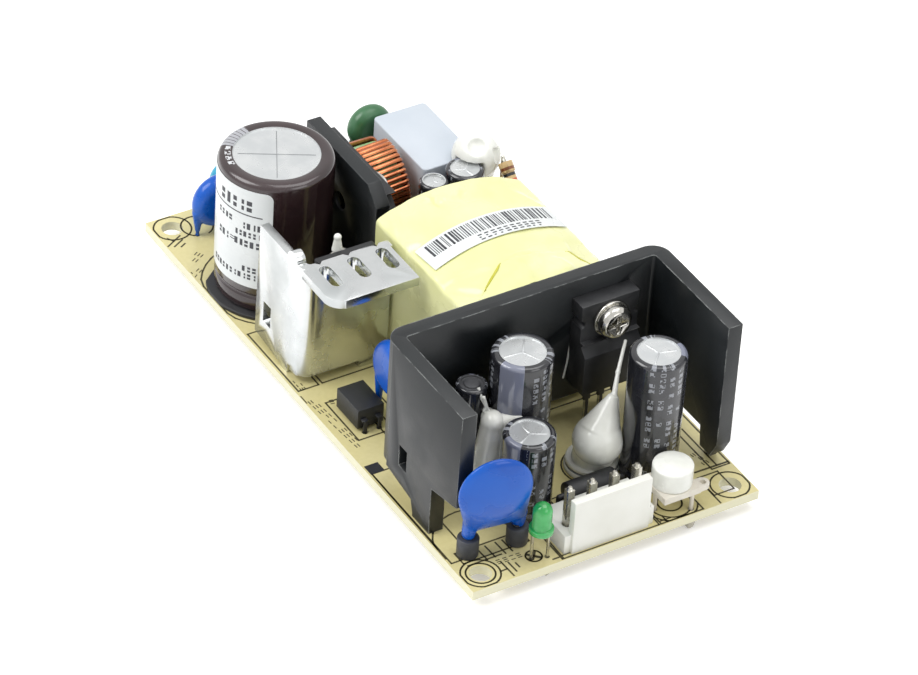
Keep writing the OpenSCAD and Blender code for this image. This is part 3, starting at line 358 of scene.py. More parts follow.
def finish(
    name, colour, second, roughness, patches=150.0, grain=3000.0, lift=0.00001, spread=0.08,
    metallic=0.0, coat=0.0, sheen=0.0, worn=None, worn_width=0.0003, breaks=500.0,
):
    """a finish; returns the material, its tree, its shader and the colour so far"""
    material = bpy.data.materials.new(name)
    material.use_nodes = True
    tree = material.node_tree
    shader = tree.nodes["Principled BSDF"]
    shader.inputs["Metallic"].default_value = metallic
    shader.inputs["Coat Weight"].default_value = coat
    shader.inputs["Coat Roughness"].default_value = 0.06
    shader.inputs["Sheen Weight"].default_value = sheen
    tone = use(tree, tone_group, Patches=patches, Grain=grain)
    mixed = layer(tree, tone["Tone"], paint(*colour), paint(*second))
    if worn:
        mask = use(tree, wear_group, Width=worn_width, Breaks=breaks)["Mask"]
        mixed = layer(tree, mask, mixed, paint(*worn))
    uneven = band(tree, tone["Tone"], 0, 1, roughness - spread, roughness + spread)
    relief = node(tree, "Bump", {"Height": tone["Fine"], "Distance": lift, "Strength": 0.5})
    tree.links.new(mixed, shader.inputs["Base Color"])
    tree.links.new(uneven, shader.inputs["Roughness"])
    tree.links.new(relief.outputs[0], shader.inputs["Normal"])
    return material, tree, shader, mixed


def glassy(material, weight, radius):
    """let light soak a little way in, as in silicone and nylon"""
    shader = material.node_tree.nodes["Principled BSDF"]
    shader.inputs["Subsurface Weight"].default_value = weight
    shader.inputs["Subsurface Radius"].default_value = (radius, radius, radius)
    shader.inputs["Subsurface Scale"].default_value = 1.0
    return material


print("the recipe is ready")

# %% [markdown]
# ## The finishes
# Black anodised sheet rubs grey along its edges. Mill aluminium is bright and smudged. Lacquer,
# sleeves and nylon are each a plastic, told apart by gloss, depth and how the tone drifts.
# %% Finishes for every material of the supply
black_anodised = finish(
    "black_anodised", (17, 20, 22), (24, 28, 30), 0.4, patches=90, grain=2600, lift=0.00002,
    worn=(150, 154, 152), worn_width=0.00035, breaks=420,
)[0]
bare_aluminium = finish(
    "bare_aluminium", (214, 216, 216), (188, 192, 192), 0.3, patches=110, grain=1500,
    lift=0.00001, spread=0.12, metallic=1.0, worn=(240, 241, 241),
)[0]
steel = finish(
    "nickel_plated", (205, 203, 196), (178, 176, 170), 0.17, patches=900, grain=5000, metallic=1.0
)[0]
tin = finish("tinned_wire", (206, 204, 194), (160, 156, 142), 0.28, patches=700, grain=4000, metallic=0.9)[0]
moulding = finish(
    "black_moulding", (30, 31, 33), (40, 41, 43), 0.46, patches=250, grain=6000, lift=0.00002,
    worn=(92, 92, 92), worn_width=0.0002,
)[0]
nylon = glassy(finish("white_nylon", (236, 236, 229), (228, 228, 219), 0.42, patches=120, grain=2500)[0], 0.15, 0.001)
blue = finish("blue_epoxy", (4, 78, 176), (10, 90, 190), 0.24, patches=160, grain=700, lift=0.00004, coat=0.12)[0]
blue.node_tree.nodes["Principled BSDF"].inputs["Specular IOR Level"].default_value = 0.35
teal = finish("teal_epoxy", (30, 140, 176), (38, 156, 190), 0.25, patches=160, grain=900, coat=0.4)[0]
dark_green = finish("dark_green_epoxy", (52, 98, 62), (66, 114, 78), 0.35, patches=200, grain=900, lift=0.00003)[0]
core_green = finish("core_green", (118, 164, 104), (136, 178, 118), 0.35, patches=200, grain=1500)[0]
copper = finish(
    "enamelled_copper", (205, 128, 82), (172, 96, 56), 0.26, patches=420, grain=3000, metallic=0.85, coat=0.4
)[0]
case = finish("grey_blue_case", (190, 198, 207), (198, 205, 213), 0.36, patches=90, grain=2500, worn=(205, 213, 222))[0]
insulation = finish("black_insulation", (22, 22, 24), (38, 38, 41), 0.5, patches=300, grain=2500)[0]
sleeving = finish("grey_sleeving", (62, 64, 70), (48, 50, 56), 0.5, patches=400, grain=2500)[0]
silicone = glassy(
    finish("silicone", (228, 229, 221), (238, 239, 233), 0.22, patches=260, grain=900, lift=0.00003, coat=0.3)[0],
    0.3, 0.0015,
)
ferrite = finish("ferrite", (62, 63, 66), (82, 83, 86), 0.55, patches=500, grain=3500)[0]
lens = glassy(finish("green_lens", (44, 176, 84), (70, 196, 104), 0.18, patches=500, grain=900, coat=0.4)[0], 0.35, 0.001)
lens.node_tree.nodes["Principled BSDF"].inputs["Transmission Weight"].default_value = 0.25
ceramic = finish("ceramic_plate", (226, 221, 209), (212, 205, 190), 0.45, patches=300, grain=3000)[0]
lacquer = finish("resistor_lacquer", (206, 178, 128), (190, 160, 110), 0.3, patches=300, grain=2000, coat=0.4)[0]
ink = finish("dark_ink", (58, 54, 34), (78, 72, 46), 0.6, patches=900, grain=4000)[0]
pale_ink = finish("pale_ink", (176, 180, 188), (150, 154, 164), 0.5, patches=900, grain=4000)[0]
black_ink = finish("label_ink", (44, 45, 50), (70, 71, 76), 0.5, patches=900, grain=4000)[0]
paper = finish("white_label", (226, 229, 228), (218, 222, 222), 0.3, patches=120, grain=2200, coat=0.2)[0]
silver_top = finish("capacitor_top", (214, 216, 216), (196, 199, 200), 0.3, patches=300, grain=3500, metallic=0.6)[0]
brown_sleeve = finish(
    "brown_sleeve", (40, 27, 28), (52, 36, 38), 0.2, patches=120, grain=600, lift=0.00003, coat=0.5,
)[0]
print(len(bpy.data.materials), "materials so far")

# %% [markdown]
# The board is a pale resin laminate. Its faces are slightly speckled by the paper or glass
# inside, and its sawn edges are lighter. Solder flux leaves it a little darker in places.
# %% Laminate, tape and capacitor sleeves
laminate, tree, shader, mixed = finish(
    "laminate", (222, 212, 158), (212, 201, 144), 0.36, patches=45, grain=1600, lift=0.00001, coat=0.25
)
weave = use(tree, tone_group, Patches=1400.0, Grain=5200.0)
speckled = layer(tree, calc(tree, "MULTIPLY", weave["Tone"], 0.22), mixed, paint(196, 186, 128))
face_up = node(tree, "SeparateXYZ", {0: node(tree, "NewGeometry").outputs["Normal"]}).outputs["Z"]
sawn = calc(tree, "LESS_THAN", calc(tree, "ABSOLUTE", face_up), 0.5)
tree.links.new(layer(tree, sawn, speckled, paint(226, 222, 190)), shader.inputs["Base Color"])

tape, tree, shader, mixed = finish(
    "yellow_tape", (238, 238, 180), (228, 229, 160), 0.3, patches=85, grain=420, lift=0.00012, coat=0.35
)
glassy(tape, 0.12, 0.001)
# a darker, deeper yellow for the slits in the film: the tape beneath, darkened as painted shade in the openings
under_tape_painted_shade = finish("tape_underneath_painted_shade", (196, 192, 66), (180, 176, 52), 0.4, patches=150, grain=800)[0]


def sleeve_finish(name, at, diameter, stripe_at, stripe_half):
    """a black shrink sleeve with one grey stripe and rows of pale marks that run up it"""
    material, tree, shader, mixed = finish(
        name, (30, 31, 35), (38, 39, 44), 0.2, patches=200, grain=700, lift=0.00002, coat=0.5
    )
    spot = node(tree, "SeparateXYZ", {0: node(tree, "TexCoord").outputs["Object"]})
    dx = calc(tree, "SUBTRACT", spot.outputs["X"], at[0] * MM)
    dy = calc(tree, "SUBTRACT", spot.outputs["Y"], at[1] * MM)
    away = calc(tree, "SUBTRACT", calc(tree, "ARCTAN2", dy, dx), math.radians(stripe_at))
    turn = calc(tree, "WRAP", away, math.pi, -math.pi)
    around = calc(tree, "MULTIPLY", turn, diameter / 2 * MM)
    distance = calc(tree, "ABSOLUTE", turn)
    stripe = calc(tree, "LESS_THAN", distance, math.radians(stripe_half))
    beside = calc(tree, "GREATER_THAN", distance, math.radians(stripe_half + 14))
    limit = calc(tree, "LESS_THAN", distance, math.radians(stripe_half + 100))
    marks = use(tree, print_group, Along=spot.outputs["Z"], Across=around, Row=0.0016, Letter=0.00105, Share=0.62)
    shown = calc(tree, "MULTIPLY", marks["Mask"], calc(tree, "MULTIPLY", beside, limit))
    striped = layer(tree, stripe, mixed, paint(122, 126, 142))
    printed = layer(tree, calc(tree, "MULTIPLY", shown, 0.55), striped, paint(178, 182, 190))
    tree.links.new(printed, shader.inputs["Base Color"])
    return material


print("laminate, tape and sleeves are ready")

# %% [markdown]
# ## Soft edges on the hard parts
# Nothing real has a perfectly sharp corner: the light along each small rounding is what tells
# metal from moulding. A part whose shape is right in the frame is copied, its loose triangles
# are merged, flat faces are dissolved into one, and a narrow bevel goes round its edges. Wire
# that belongs to the same part gets its own finish by where its faces are.
# %% Copy, merge and bevel
def dress(source, material, width=0.12, wire=None, wire_below=None, segments=2, name=None):
    """a merged and bevelled copy of one part of the frame; faces below a height become wire"""
    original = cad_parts[source]
    piece = bpy.data.objects.new(name or source + "_dressed", original.data.copy())
    scene.collection.objects.link(piece)
    piece.data.materials.clear()
    piece.data.materials.append(material)
    take(piece)
    bpy.ops.object.mode_set(mode="EDIT")
    bpy.ops.mesh.select_all(action="SELECT")
    bpy.ops.mesh.remove_doubles(threshold=2e-6)
    bpy.ops.mesh.dissolve_limited(angle_limit=math.radians(1.5))
    bpy.ops.object.mode_set(mode="OBJECT")
    if width:
        apply(
            piece, "BEVEL", width=width * MM, segments=segments, limit_method="ANGLE",
            angle_limit=math.radians(40), use_clamp_overlap=True,
        )
    smooth(piece)
    if wire:
        piece.data.materials.append(wire)
        limit = (TOP + wire_below) * MM
        for face in piece.data.polygons:
            if max(piece.data.vertices[v].co.z for v in face.vertices) < limit:
                face.material_index = 1
    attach(piece, "root")
    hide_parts(source)
    return piece


def melt(source, material, voxel, rounds, wire=None):
    """a copy of a soft drop whose joints are run together and smoothed"""
    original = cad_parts[source]
    piece = bpy.data.objects.new(source + "_drop", original.data.copy())
    scene.collection.objects.link(piece)
    piece.data.materials.clear()
    take(piece)
    bpy.ops.object.mode_set(mode="EDIT")
    bpy.ops.mesh.select_all(action="SELECT")
    bpy.ops.mesh.remove_doubles(threshold=2e-6)
    bpy.ops.object.mode_set(mode="OBJECT")
    apply(piece, "REMESH", mode="VOXEL", voxel_size=voxel * MM)
    apply(piece, "SMOOTH", factor=0.5, iterations=rounds)
    piece.data.materials.append(material)
    take(piece)
    bpy.ops.object.shade_smooth()
    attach(piece, "root")
    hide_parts(source)
    return piece


for source, width in [("bridge_heatsink", 0.25), ("output_heatsink", 0.3)]:
    dress(source, black_anodised, width)
dress("primary_bracket", bare_aluminium, 0.22)
for source in ["input_header", "output_header"]:
    dress(source, nylon, 0.15)
for source in ["input_pins", "output_pins"]:
    dress(source, tin, 0.1)
dress("box_capacitor", case, 0.45, wire=tin, wire_below=0.25, segments=3)
dress("fuse", moulding, 0.3, wire=tin, wire_below=0.45)
dress("bridge_rectifier", moulding, 0.15, wire=tin, wire_below=3.9)
dress("switching_transistor", moulding, 0.15, wire=tin, wire_below=4.6)
dress("output_rectifier", moulding, 0.15, wire=tin, wire_below=8.3)
dress("optocoupler", moulding, 0.15)
dress("clamp_diode", moulding, 0.2)
for source in ["bridge_screw", "transistor_screw", "rectifier_screw"]:
    dress(source, steel, 0.35, segments=3)
dress("rectifier_washer", steel, 0.1)
dress("trimmer", ceramic, 0.15, wire=tin, wire_below=3.0)
dress("controller_chip", moulding, 0.1)
dress("chip_resistors", moulding, 0.08)
dress("disc_capacitor_sleeves", sleeving, 0.2)
dress("indicator_lamp", lens, 0.12, wire=tin, wire_below=5.33)
for source, voxel, rounds in [
    ("silicone_cone", 0.14, 10), ("silicone_strip", 0.14, 10), ("filter_silicone", 0.16, 12),
    ("transistor_silicone", 0.08, 6), ("trimmer_silicone", 0.14, 10),
]:
    melt(source, silicone, voxel, rounds)

# %% [markdown]
# ## The board and its print
# The laminate itself keeps the frame's shape. Its print is a dark ink drawn with a thin line: an
# outline round each part, rings at the holes, earth signs and rules. Here it is real, flat
# geometry a few hundredths of a millimetre thick, so it stays sharp at any distance.
# %% Ink lines on the laminate
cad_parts["circuit_board"].data.materials.clear()
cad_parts["circuit_board"].data.materials.append(laminate)
INK = 0.03
LINE = 0.27


def ink_line(ax, ay, bx, by, width=LINE):
    """one drawn line, kept on the board and added to the mesh in edit mode"""
    ax, bx = (min(max(v, -50.5), 50.5) for v in (ax, bx))
    ay, by = (min(max(v, -25.1), 25.1) for v in (ay, by))
    length = math.hypot(bx - ax, by - ay)
    bpy.ops.mesh.primitive_cube_add(
        size=1, location=place((ax + bx) / 2, (ay + by) / 2, INK / 2),
        rotation=(0, 0, math.atan2(by - ay, bx - ax)),
        scale=((length + width) * MM, width * MM, INK * MM),
    )


def ink_box(x, y, wide, deep, width=LINE):
    """the outline of a box-shaped part"""
    corners = [(x - wide / 2, y - deep / 2), (x + wide / 2, y - deep / 2), (x + wide / 2, y + deep / 2), (x - wide / 2, y + deep / 2)]
    for start, end in zip(corners, corners[1:] + corners[:1]):
        ink_line(*start, *end, width)


def ink_ring(x, y, radius, first=0, last=360, width=LINE):
    """a drawn circle or arc"""
    steps = max(6, int(abs(last - first) / 10))
    angles = [math.radians(first + (last - first) * i / steps) for i in range(steps + 1)]
    for a, b in zip(angles, angles[1:]):
        ink_line(
            x + radius * math.cos(a), y + radius * math.sin(a),
            x + radius * math.cos(b), y + radius * math.sin(b), width,
        )


def ink_blocks(x, y, along, count, size, seed):
    """a row of small plain marks where a reference would be"""
    dice = random.Random(seed)
    dx, dy = math.cos(along), math.sin(along)
    for i in range(count):
        cx, cy = x + dx * i * size * 0.95, y + dy * i * size * 0.95
        for part in (-0.35, 0.0, 0.35):
            if dice.random() < 0.75:
                px, py = cx - dy * part * size, cy + dx * part * size
                ink_line(px - dx * size * 0.22, py - dy * size * 0.22, px + dx * size * 0.22, py + dy * size * 0.22, 0.16)


def earth_sign(x, y, turn):
    """a stem with three shorter and shorter bars"""
    dx, dy = math.cos(turn), math.sin(turn)
    ink_line(x, y, x + dx * 1.2, y + dy * 1.2)
    for step, half in [(1.2, 1.75), (2.1, 1.1), (3.0, 0.5)]:
        ink_line(
            x + dx * step + dy * half, y + dy * step - dx * half,
            x + dx * step - dy * half, y + dy * step + dx * half,
        )


take(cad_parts["circuit_board"])
bpy.ops.mesh.primitive_cube_add(size=0.0002, location=place(0, -25.2, INK / 2), scale=(10, 1, 0.1))
print_piece = bpy.context.object
bpy.ops.object.mode_set(mode="EDIT")
for sx in (-1, 1):
    for sy in (-1, 1):
        ink_ring(sx * 47.6, sy * 22.2, 3.05)
ink_ring(47.6, -22.2, 2.25)
earth_sign(48.6, -19.3, math.radians(92))
earth_sign(-45.6, -24.2, math.radians(28))
earth_sign(-44.6, 22.6, math.radians(-10))
for x, y, radius in [
    (-28.2, -14.9, 11.2), (29.5, -5.3, 5.2), (39, 12.8, 4.9), (37.9, -8.7, 4.6), (26.9, -12.3, 2.9),
    (-23.6, 11.5, 2.8), (-23.9, 17.4, 3.6), (34, 5.8, 4.6), (46.9, 11.7, 1.9), (46.9, 11.7, 3.4), (47.9, -13.1, 1.25),
]:
    ink_ring(x, y, radius)
ink_ring(46.9, 11.7, 4.3, -70, 60)
ink_ring(41.0, -18.2, 7.2, 150, 262)
ink_ring(-46.4, -18.4, 2.6, 20, 330)
for x, y, wide, deep in [
    (43.3, -17.6, 2.6, 11.5), (7.3, -19.5, 10.2, 6.2), (46.2, -1.05, 9.0, 17.2), (-45.9, -2.7, 9.0, 13.4),
    (-36, 17.15, 17.4, 10.8), (-25, -1.2, 22.5, 7.6), (4.8, 5.3, 29.5, 28.2), (32, -23.1, 23.4, 3.6),
    (33, 23.4, 20.5, 3.2), (-10.2, -23.1, 16.0, 3.6), (-6, -14.8, 7.4, 11.6), (40.2, 1.6, 4.6, 11.5),
    (-34.8, 6.9, 15.6, 8.6), (46.9, 11.7, 7.4, 7.6), (46.3, 20.5, 4.6, 3.6), (11.05, -16.2, 12.0, 4.0),
]:
    ink_box(x, y, wide, deep)
ink_line(20.4, -24.9, 42.4, -25.1)
ink_line(42.7, 19.1, 42.8, 25.0, 0.35)
ink_line(33.0, 23.0, 42.8, 23.0)
ink_line(46.4, 18.6, 50.5, 18.6)
ink_line(45.5, -9.3, 50.2, -9.4)
ink_line(49.8, -9.4, 49.7, -7.4)
ink_line(45.3, -23.0, 45.3, -17.2)
for y in (-19.8, -18.4, -16.6, -15.4):
    ink_line(42.6, y, 45.4, y + 0.1)
ink_line(47.2, -13.8, 48.6, -12.4, 0.5)
ink_line(47.2, -12.6, 48.4, -13.6, 0.5)
ink_line(49.9, 8.2, 49.9, 9.8, 0.28)
ink_line(49.1, 9.0, 50.7, 9.0, 0.28)
ink_line(49.9, -10.9, 49.9, -9.9, 0.28)
ink_blocks(1.0, -24.3, math.radians(5), 10, 1.45, 11)
ink_blocks(46.6, -18.4, math.radians(88), 4, 1.2, 12)
ink_blocks(39.0, 21.3, math.radians(10), 3, 1.3, 13)
ink_blocks(-39.6, -21.8, math.radians(-60), 2, 1.6, 14)
ink_blocks(-36.2, -23.9, math.radians(-60), 2, 1.6, 15)
ink_blocks(2.4, -21.6, math.radians(80), 3, 1.2, 16)
ink_blocks(-4.5, -24.0, math.radians(0), 3, 1.1, 17)
ink_blocks(15.2, -19.0, math.radians(90), 4, 1.2, 18)
bpy.ops.object.mode_set(mode="OBJECT")
print_piece = settle(print_piece, "board_print")
print_piece.data.materials.append(ink)
bpy.ops.object.mode_set(mode="OBJECT")
bpy.ops.mesh.primitive_cube_add(size=1, location=place(19.3, -23.9, 0.02), scale=(2.2 * MM, 2.4 * MM, 0.05 * MM))
black_patch = settle(bpy.context.object, "board_black_patch")
bpy.ops.mesh.primitive_cube_add(size=1, location=place(41.6, -3.6, 0.02), scale=(2.4 * MM, 9.5 * MM, 0.05 * MM))
black_field = settle(bpy.context.object, "board_black_field")
for patch in (black_patch, black_field):
    patch.data.materials.append(insulation)
    apply(patch, "BEVEL", width=0.01 * MM, segments=1)
for piece in (print_piece, black_patch, black_field):
    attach(piece, "root")
print("print:", len(print_piece.data.polygons), "faces")

# %% [markdown]
# ## Turned shapes: the capacitors
# An electrolytic capacitor is an aluminium can in a shrunk sleeve. The sleeve rolls over the
# top edge and stops short of a bare disc, which is scored so that it can open, and a groove
# runs round near the foot. All of that is one outline, spun round the can's axis.
# %% Spin an outline into a can
def turned(name, outline, at, lift, steps=96):
    """an outline of (radius, height) points spun once round an upright axis"""
    mesh = bpy.data.meshes.new(name)
    points = [place(at[0] + r, at[1], lift + z) for r, z in outline]
    mesh.from_pydata(points, [(i, i + 1) for i in range(len(points) - 1)], [])
    piece = bpy.data.objects.new(name, mesh)
    scene.collection.objects.link(piece)
    take(piece)
    bpy.ops.object.mode_set(mode="EDIT")
    bpy.ops.mesh.select_all(action="SELECT")
    bpy.ops.mesh.spin(steps=steps, angle=2 * math.pi, center=place(at[0], at[1], 0), axis=(0, 0, 1))
    bpy.ops.mesh.select_all(action="SELECT")
    bpy.ops.mesh.remove_doubles(threshold=1e-6)
    bpy.ops.mesh.normals_make_consistent(inside=False)
    bpy.ops.object.mode_set(mode="OBJECT")
    return smooth(piece, 40)


def legs_of(source, below):
    """the wire legs of a part, cut from a merged copy at its underside and closed"""
    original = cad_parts[source]
    piece = bpy.data.objects.new(source + "_legs", original.data.copy())
    scene.collection.objects.link(piece)
    piece.data.materials.clear()
    piece.data.materials.append(tin)
    take(piece)
    bpy.ops.object.mode_set(mode="EDIT")
    bpy.ops.mesh.select_all(action="SELECT")
    bpy.ops.mesh.remove_doubles(threshold=2e-6)
    limit = (TOP + below) * MM
    choose_faces(piece, lambda centre, normal: False)
    bpy.ops.object.mode_set(mode="OBJECT")
    for face in piece.data.polygons:
        face.select = min(piece.data.vertices[v].co.z for v in face.vertices) > limit
    bpy.ops.object.mode_set(mode="EDIT")
    bpy.ops.mesh.delete(type="FACE")
    bpy.ops.mesh.select_all(action="SELECT")
    bpy.ops.mesh.fill_holes(sides=0)
    bpy.ops.object.mode_set(mode="OBJECT")
    return smooth(piece)


def can_outline(d, h, roll, foot=1.5):
    """the outline of a sleeved can: foot, groove, wall, rolled shoulder and recessed disc"""
    r = d / 2
    shoulder = [
        (r - roll + roll * math.cos(math.radians(a)), h - roll + roll * math.sin(math.radians(a)))
        for a in range(0, 91, 15)
    ]
    return [
        (0, 0), (r - 0.5, 0), (r - 0.12, 0.15), (r, 0.5), (r, foot), (r - 0.1, foot + 0.25),
        (r - 0.26, foot + 0.45), (r - 0.26, foot + 0.75), (r - 0.1, foot + 0.95), (r, foot + 1.2),
    ] + shoulder + [(d * 0.39, h), (d * 0.377, h - 0.08), (d * 0.372, h - 0.3), (0, h - 0.3)]


def vent_bars(at, h, lift, bars, tall=0.07):
    """thin raised or cut marks on the bare disc, each from one point to another"""
    made = []
    for ax, ay, bx, by, width in bars:
        length = math.hypot(bx - ax, by - ay)
        bpy.ops.mesh.primitive_cube_add(
            size=1, location=place(at[0] + (ax + bx) / 2, at[1] + (ay + by) / 2, lift + h - 0.3),
            rotation=(0, 0, math.atan2(by - ay, bx - ax)),
            scale=(length * MM, width * MM, 2 * tall * MM),
        )
        bar = settle(bpy.context.object, "vent")
        apply(bar, "BEVEL", width=min(tall, width / 3) * MM, segments=2, limit_method="NONE")
        made.append(bar)
    return made


def capacitor(source, at, d, h, lift, sleeve, bars, bar_finish, roll=0.7, foot=1.5):
    """a sleeved can with its bare disc, vent and legs"""
    body = turned(source + "_can", can_outline(d, h, roll, foot), at, lift)
    body.data.materials.append(sleeve)
    body.data.materials.append(silver_top)
    for face in body.data.polygons:
        away = math.hypot(face.center.x - at[0] * MM, face.center.y - at[1] * MM)
        if face.center.z > (TOP + lift + h - 0.4) * MM and away < d * 0.3745 * MM:
            face.material_index = 1
    marks = vent_bars(at, h, lift, bars)
    for mark in marks:
        mark.data.materials.append(bar_finish)
    piece = join(source + "_dressed", body, *marks, legs_of(source, lift - 0.05))
    smooth(piece, 40)
    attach(piece, "root")
    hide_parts(source)
    return piece


def star(radius, turn, arms=3, width=0.32):
    """vent scores that meet in the middle"""
    ends = [math.radians(turn + 360 / arms * i) for i in range(arms)]
    return [(0, 0, radius * math.cos(a), radius * math.sin(a), width) for a in ends]


for source, at, d, h, stripe_at, turn in [
    ("output_capacitor_left", (29.5, -5.3), 9.6, 23.3, -52, 25),
    ("output_capacitor_right", (39, 12.8), 8.9, 23.3, 70, 75),
    ("output_capacitor_short", (37.9, -8.7), 8.2, 15, -75, 60),
    ("supply_capacitor_small", (-23.6, 11.5), 4.8, 14.2, 150, 40),
    ("supply_capacitor_large", (-23.9, 17.4), 6.3, 14.5, 160, 10),
]:
    half = 24 if d > 7 else 30
    sleeve = sleeve_finish("sleeve_" + source, at, d, stripe_at, half)
    capacitor(source, at, d, h, 0.0, sleeve, star(d * 0.33, turn), silver_top)
print("five black capacitors stand")

# %% [markdown]
# The high-voltage capacitor is the largest part. Its sleeve is dark brown with a pale stripe
# and small pale marks on the rim, and its bare disc has a fine scored cross.
# %% The bulk capacitor
BULK = (-28.2, -14.9)
tree = brown_sleeve.node_tree
shader = tree.nodes["Principled BSDF"]
plain = shader.inputs["Base Color"].links[0].from_socket
spot = node(tree, "SeparateXYZ", {0: node(tree, "TexCoord").outputs["Object"]})
dx = calc(tree, "SUBTRACT", spot.outputs["X"], BULK[0] * MM)
dy = calc(tree, "SUBTRACT", spot.outputs["Y"], BULK[1] * MM)
around = calc(tree, "ARCTAN2", dy, dx)
radius = calc(tree, "SQRT", calc(tree, "ADD", calc(tree, "MULTIPLY", dx, dx), calc(tree, "MULTIPLY", dy, dy)))


def between(tree, value, low, high):
    """1 where low < value < high"""
    return calc(tree, "MULTIPLY", calc(tree, "GREATER_THAN", value, low), calc(tree, "LESS_THAN", value, high))


stripe = between(tree, around, math.radians(-172), math.radians(-132))
ticks = calc(tree, "GREATER_THAN", calc(tree, "FRACT", calc(tree, "MULTIPLY", around, 10.0)), 0.16)
striped = layer(tree, calc(tree, "MULTIPLY", stripe, calc(tree, "MULTIPLY", ticks, 0.85)), plain, paint(176, 178, 184))
marks = use(
    tree, print_group, Along=calc(tree, "MULTIPLY", around, 0.009), Across=radius, Row=0.0017, Letter=0.0016, Share=0.8
)
places = calc(tree, "MULTIPLY", between(tree, around, math.radians(-130), math.radians(-92)), between(tree, radius, 0.0071, 0.0088))
tree.links.new(
    layer(tree, calc(tree, "MULTIPLY", marks["Mask"], places), striped, paint(205, 207, 210)), shader.inputs["Base Color"]
)
# a darker grey: the scored cross on the bulk capacitor's disc, and painted shade in the groove round the silicone foot
score_and_painted_shade = finish("score_line_and_painted_shade", (150, 153, 154), (132, 135, 137), 0.4, metallic=0.4)[0]
cross = [
    (6.1 * math.cos(a), 6.1 * math.sin(a), -6.1 * math.cos(a), -6.1 * math.sin(a), 0.13)
    for a in (math.radians(61), math.radians(151))
]
capacitor("bulk_capacitor", BULK, 18.4, 24.6, 0.72, brown_sleeve, cross, score_and_painted_shade, roll=1.1, foot=2.2)
print("the bulk capacitor stands")

# %% [markdown]
# Its label is coated paper wrapped part of the way round. A flat grid is cut with rounded
# corners and rolled onto the can, and plain bars take the place of its lines of print.
# %% A label rolled round the can
LABEL_R = 9.25
LABEL_FROM = -198
LABEL_WIDE = math.radians(166) * LABEL_R
LABEL_LOW, LABEL_TALL = 5.32, 18.6


def sheet_patch(name, u0, u1, v0, v1, step=0.45):
    """a flat grid in millimetres, u along and v up, lying in the XZ plane"""
    bpy.ops.mesh.primitive_grid_add(
        x_subdivisions=max(2, int((u1 - u0) / step)), y_subdivisions=max(1, int((v1 - v0) / 1.2)), size=1,
        location=((u0 + u1) / 2 * MM, 0, (v0 + v1) / 2 * MM), rotation=(math.pi / 2, 0, 0),
    )
    bpy.context.object.scale = ((u1 - u0) * MM, (v1 - v0) * MM, 1)
    return settle(bpy.context.object, name)


def roll_on(piece, at, radius, first, low):
    """roll a flat sheet onto an upright can"""
    for vertex in piece.data.vertices:
        a = math.radians(first) + vertex.co.x / MM / radius
        vertex.co = place(at[0] + radius * math.cos(a), at[1] + radius * math.sin(a), low + vertex.co.z / MM)
    piece.data.update()
    return piece


label = sheet_patch("label_sheet", 0, LABEL_WIDE, 0, LABEL_TALL, 0.3)
take(label)
bpy.ops.object.mode_set(mode="EDIT")
bpy.ops.mesh.subdivide(number_cuts=3)
bpy.ops.object.mode_set(mode="OBJECT")
corner = 1.3
for vertex in label.data.vertices:
    u, v = vertex.co.x / MM, vertex.co.z / MM
    cu = min(max(u, corner), LABEL_WIDE - corner)
    cv = min(max(v, corner), LABEL_TALL - corner)
    away = math.hypot(u - cu, v - cv)
    if cu != u and cv != v and away > corner:
        vertex.co.x = (cu + (u - cu) * corner / away) * MM
        vertex.co.z = (cv + (v - cv) * corner / away) * MM
roll_on(label, BULK, LABEL_R, LABEL_FROM, LABEL_LOW)
apply(label, "SOLIDIFY", thickness=0.06 * MM, offset=1.0)
outward(label)
label.data.materials.append(paper)
smooth(label)
label.name = "rating_label_sheet"
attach(label, "root")
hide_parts("rating_label")

strips = []
dice = random.Random(5)
right = LABEL_WIDE


def word_bars(end, top, tall, count, wide):
    """a run of small upright bars and blocks that ends at a distance from the right edge"""
    u = right - end
    for i in range(count):
        w = wide * dice.choice((0.5, 0.8, 1.0, 1.0))
        style = dice.random()
        spans = [(top, top - tall)] if style < 0.4 else [(top, top - tall * 0.42), (top - tall * 0.62, top - tall)]
        for high, low in spans:
            strips.append(sheet_patch("bar", u - w * 0.72, u, low, high))
        u -= wide * 1.12


for end, top, tall, count, wide in [
    (3.2, 16.6, 2.0, 5, 1.25), (6.9, 12.6, 1.0, 4, 0.85), (1.6, 12.3, 1.15, 4, 0.8), (1.6, 10.6, 1.0, 6, 0.72),
    (1.8, 8.9, 1.2, 5, 0.85), (7.6, 8.9, 1.2, 3, 0.85), (2.2, 3.9, 1.0, 3, 0.85), (2.2, 2.5, 1.0, 11, 0.78),
]:
    word_bars(end, top, tall, count, wide)
strips.append(sheet_patch("rule", right - 14.5, right - 1.4, 13.75, 13.95))
for v in (8.6, 8.15):
    strips.append(sheet_patch("dash", right - 7.2, right - 6.1, v, v + 0.15))
label_print = join("rating_label_print", *strips)
roll_on(label_print, BULK, LABEL_R + 0.075, LABEL_FROM, LABEL_LOW)
apply(label_print, "SOLIDIFY", thickness=0.02 * MM, offset=0.0)
label_print.data.materials.append(black_ink)
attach(label_print, "root")
print("label print:", len(label_print.data.polygons), "faces")
dress("bulk_insulator", insulation, 0.12)

# %% [markdown]
# ## Dipped discs
# A disc capacitor is dipped in lacquer that runs down its legs. The output one is dipped deep, so
# its coat reaches from the disc to both legs like a shield. A hull round the disc and the two
# leg tops is rebuilt as one skin and smoothed, as surface tension does.
# %% Discs with one smooth skin
def lens_disc(at, height, turn, d, t):
    """a round disc standing on edge, thinner at its rim"""
    bpy.ops.mesh.primitive_uv_sphere_add(
        segments=48, ring_count=24, radius=0.5 * MM, location=place(at[0], at[1], height),
        rotation=(0, 0, math.radians(turn)), scale=(t, d, d),
    )
    return settle(bpy.context.object, "disc")


def small_ball(x, y, z, r):
    """a round end for a coated leg"""
    bpy.ops.mesh.primitive_uv_sphere_add(segments=20, ring_count=12, radius=r * MM, location=place(x, y, z))
    return settle(bpy.context.object, "ball")


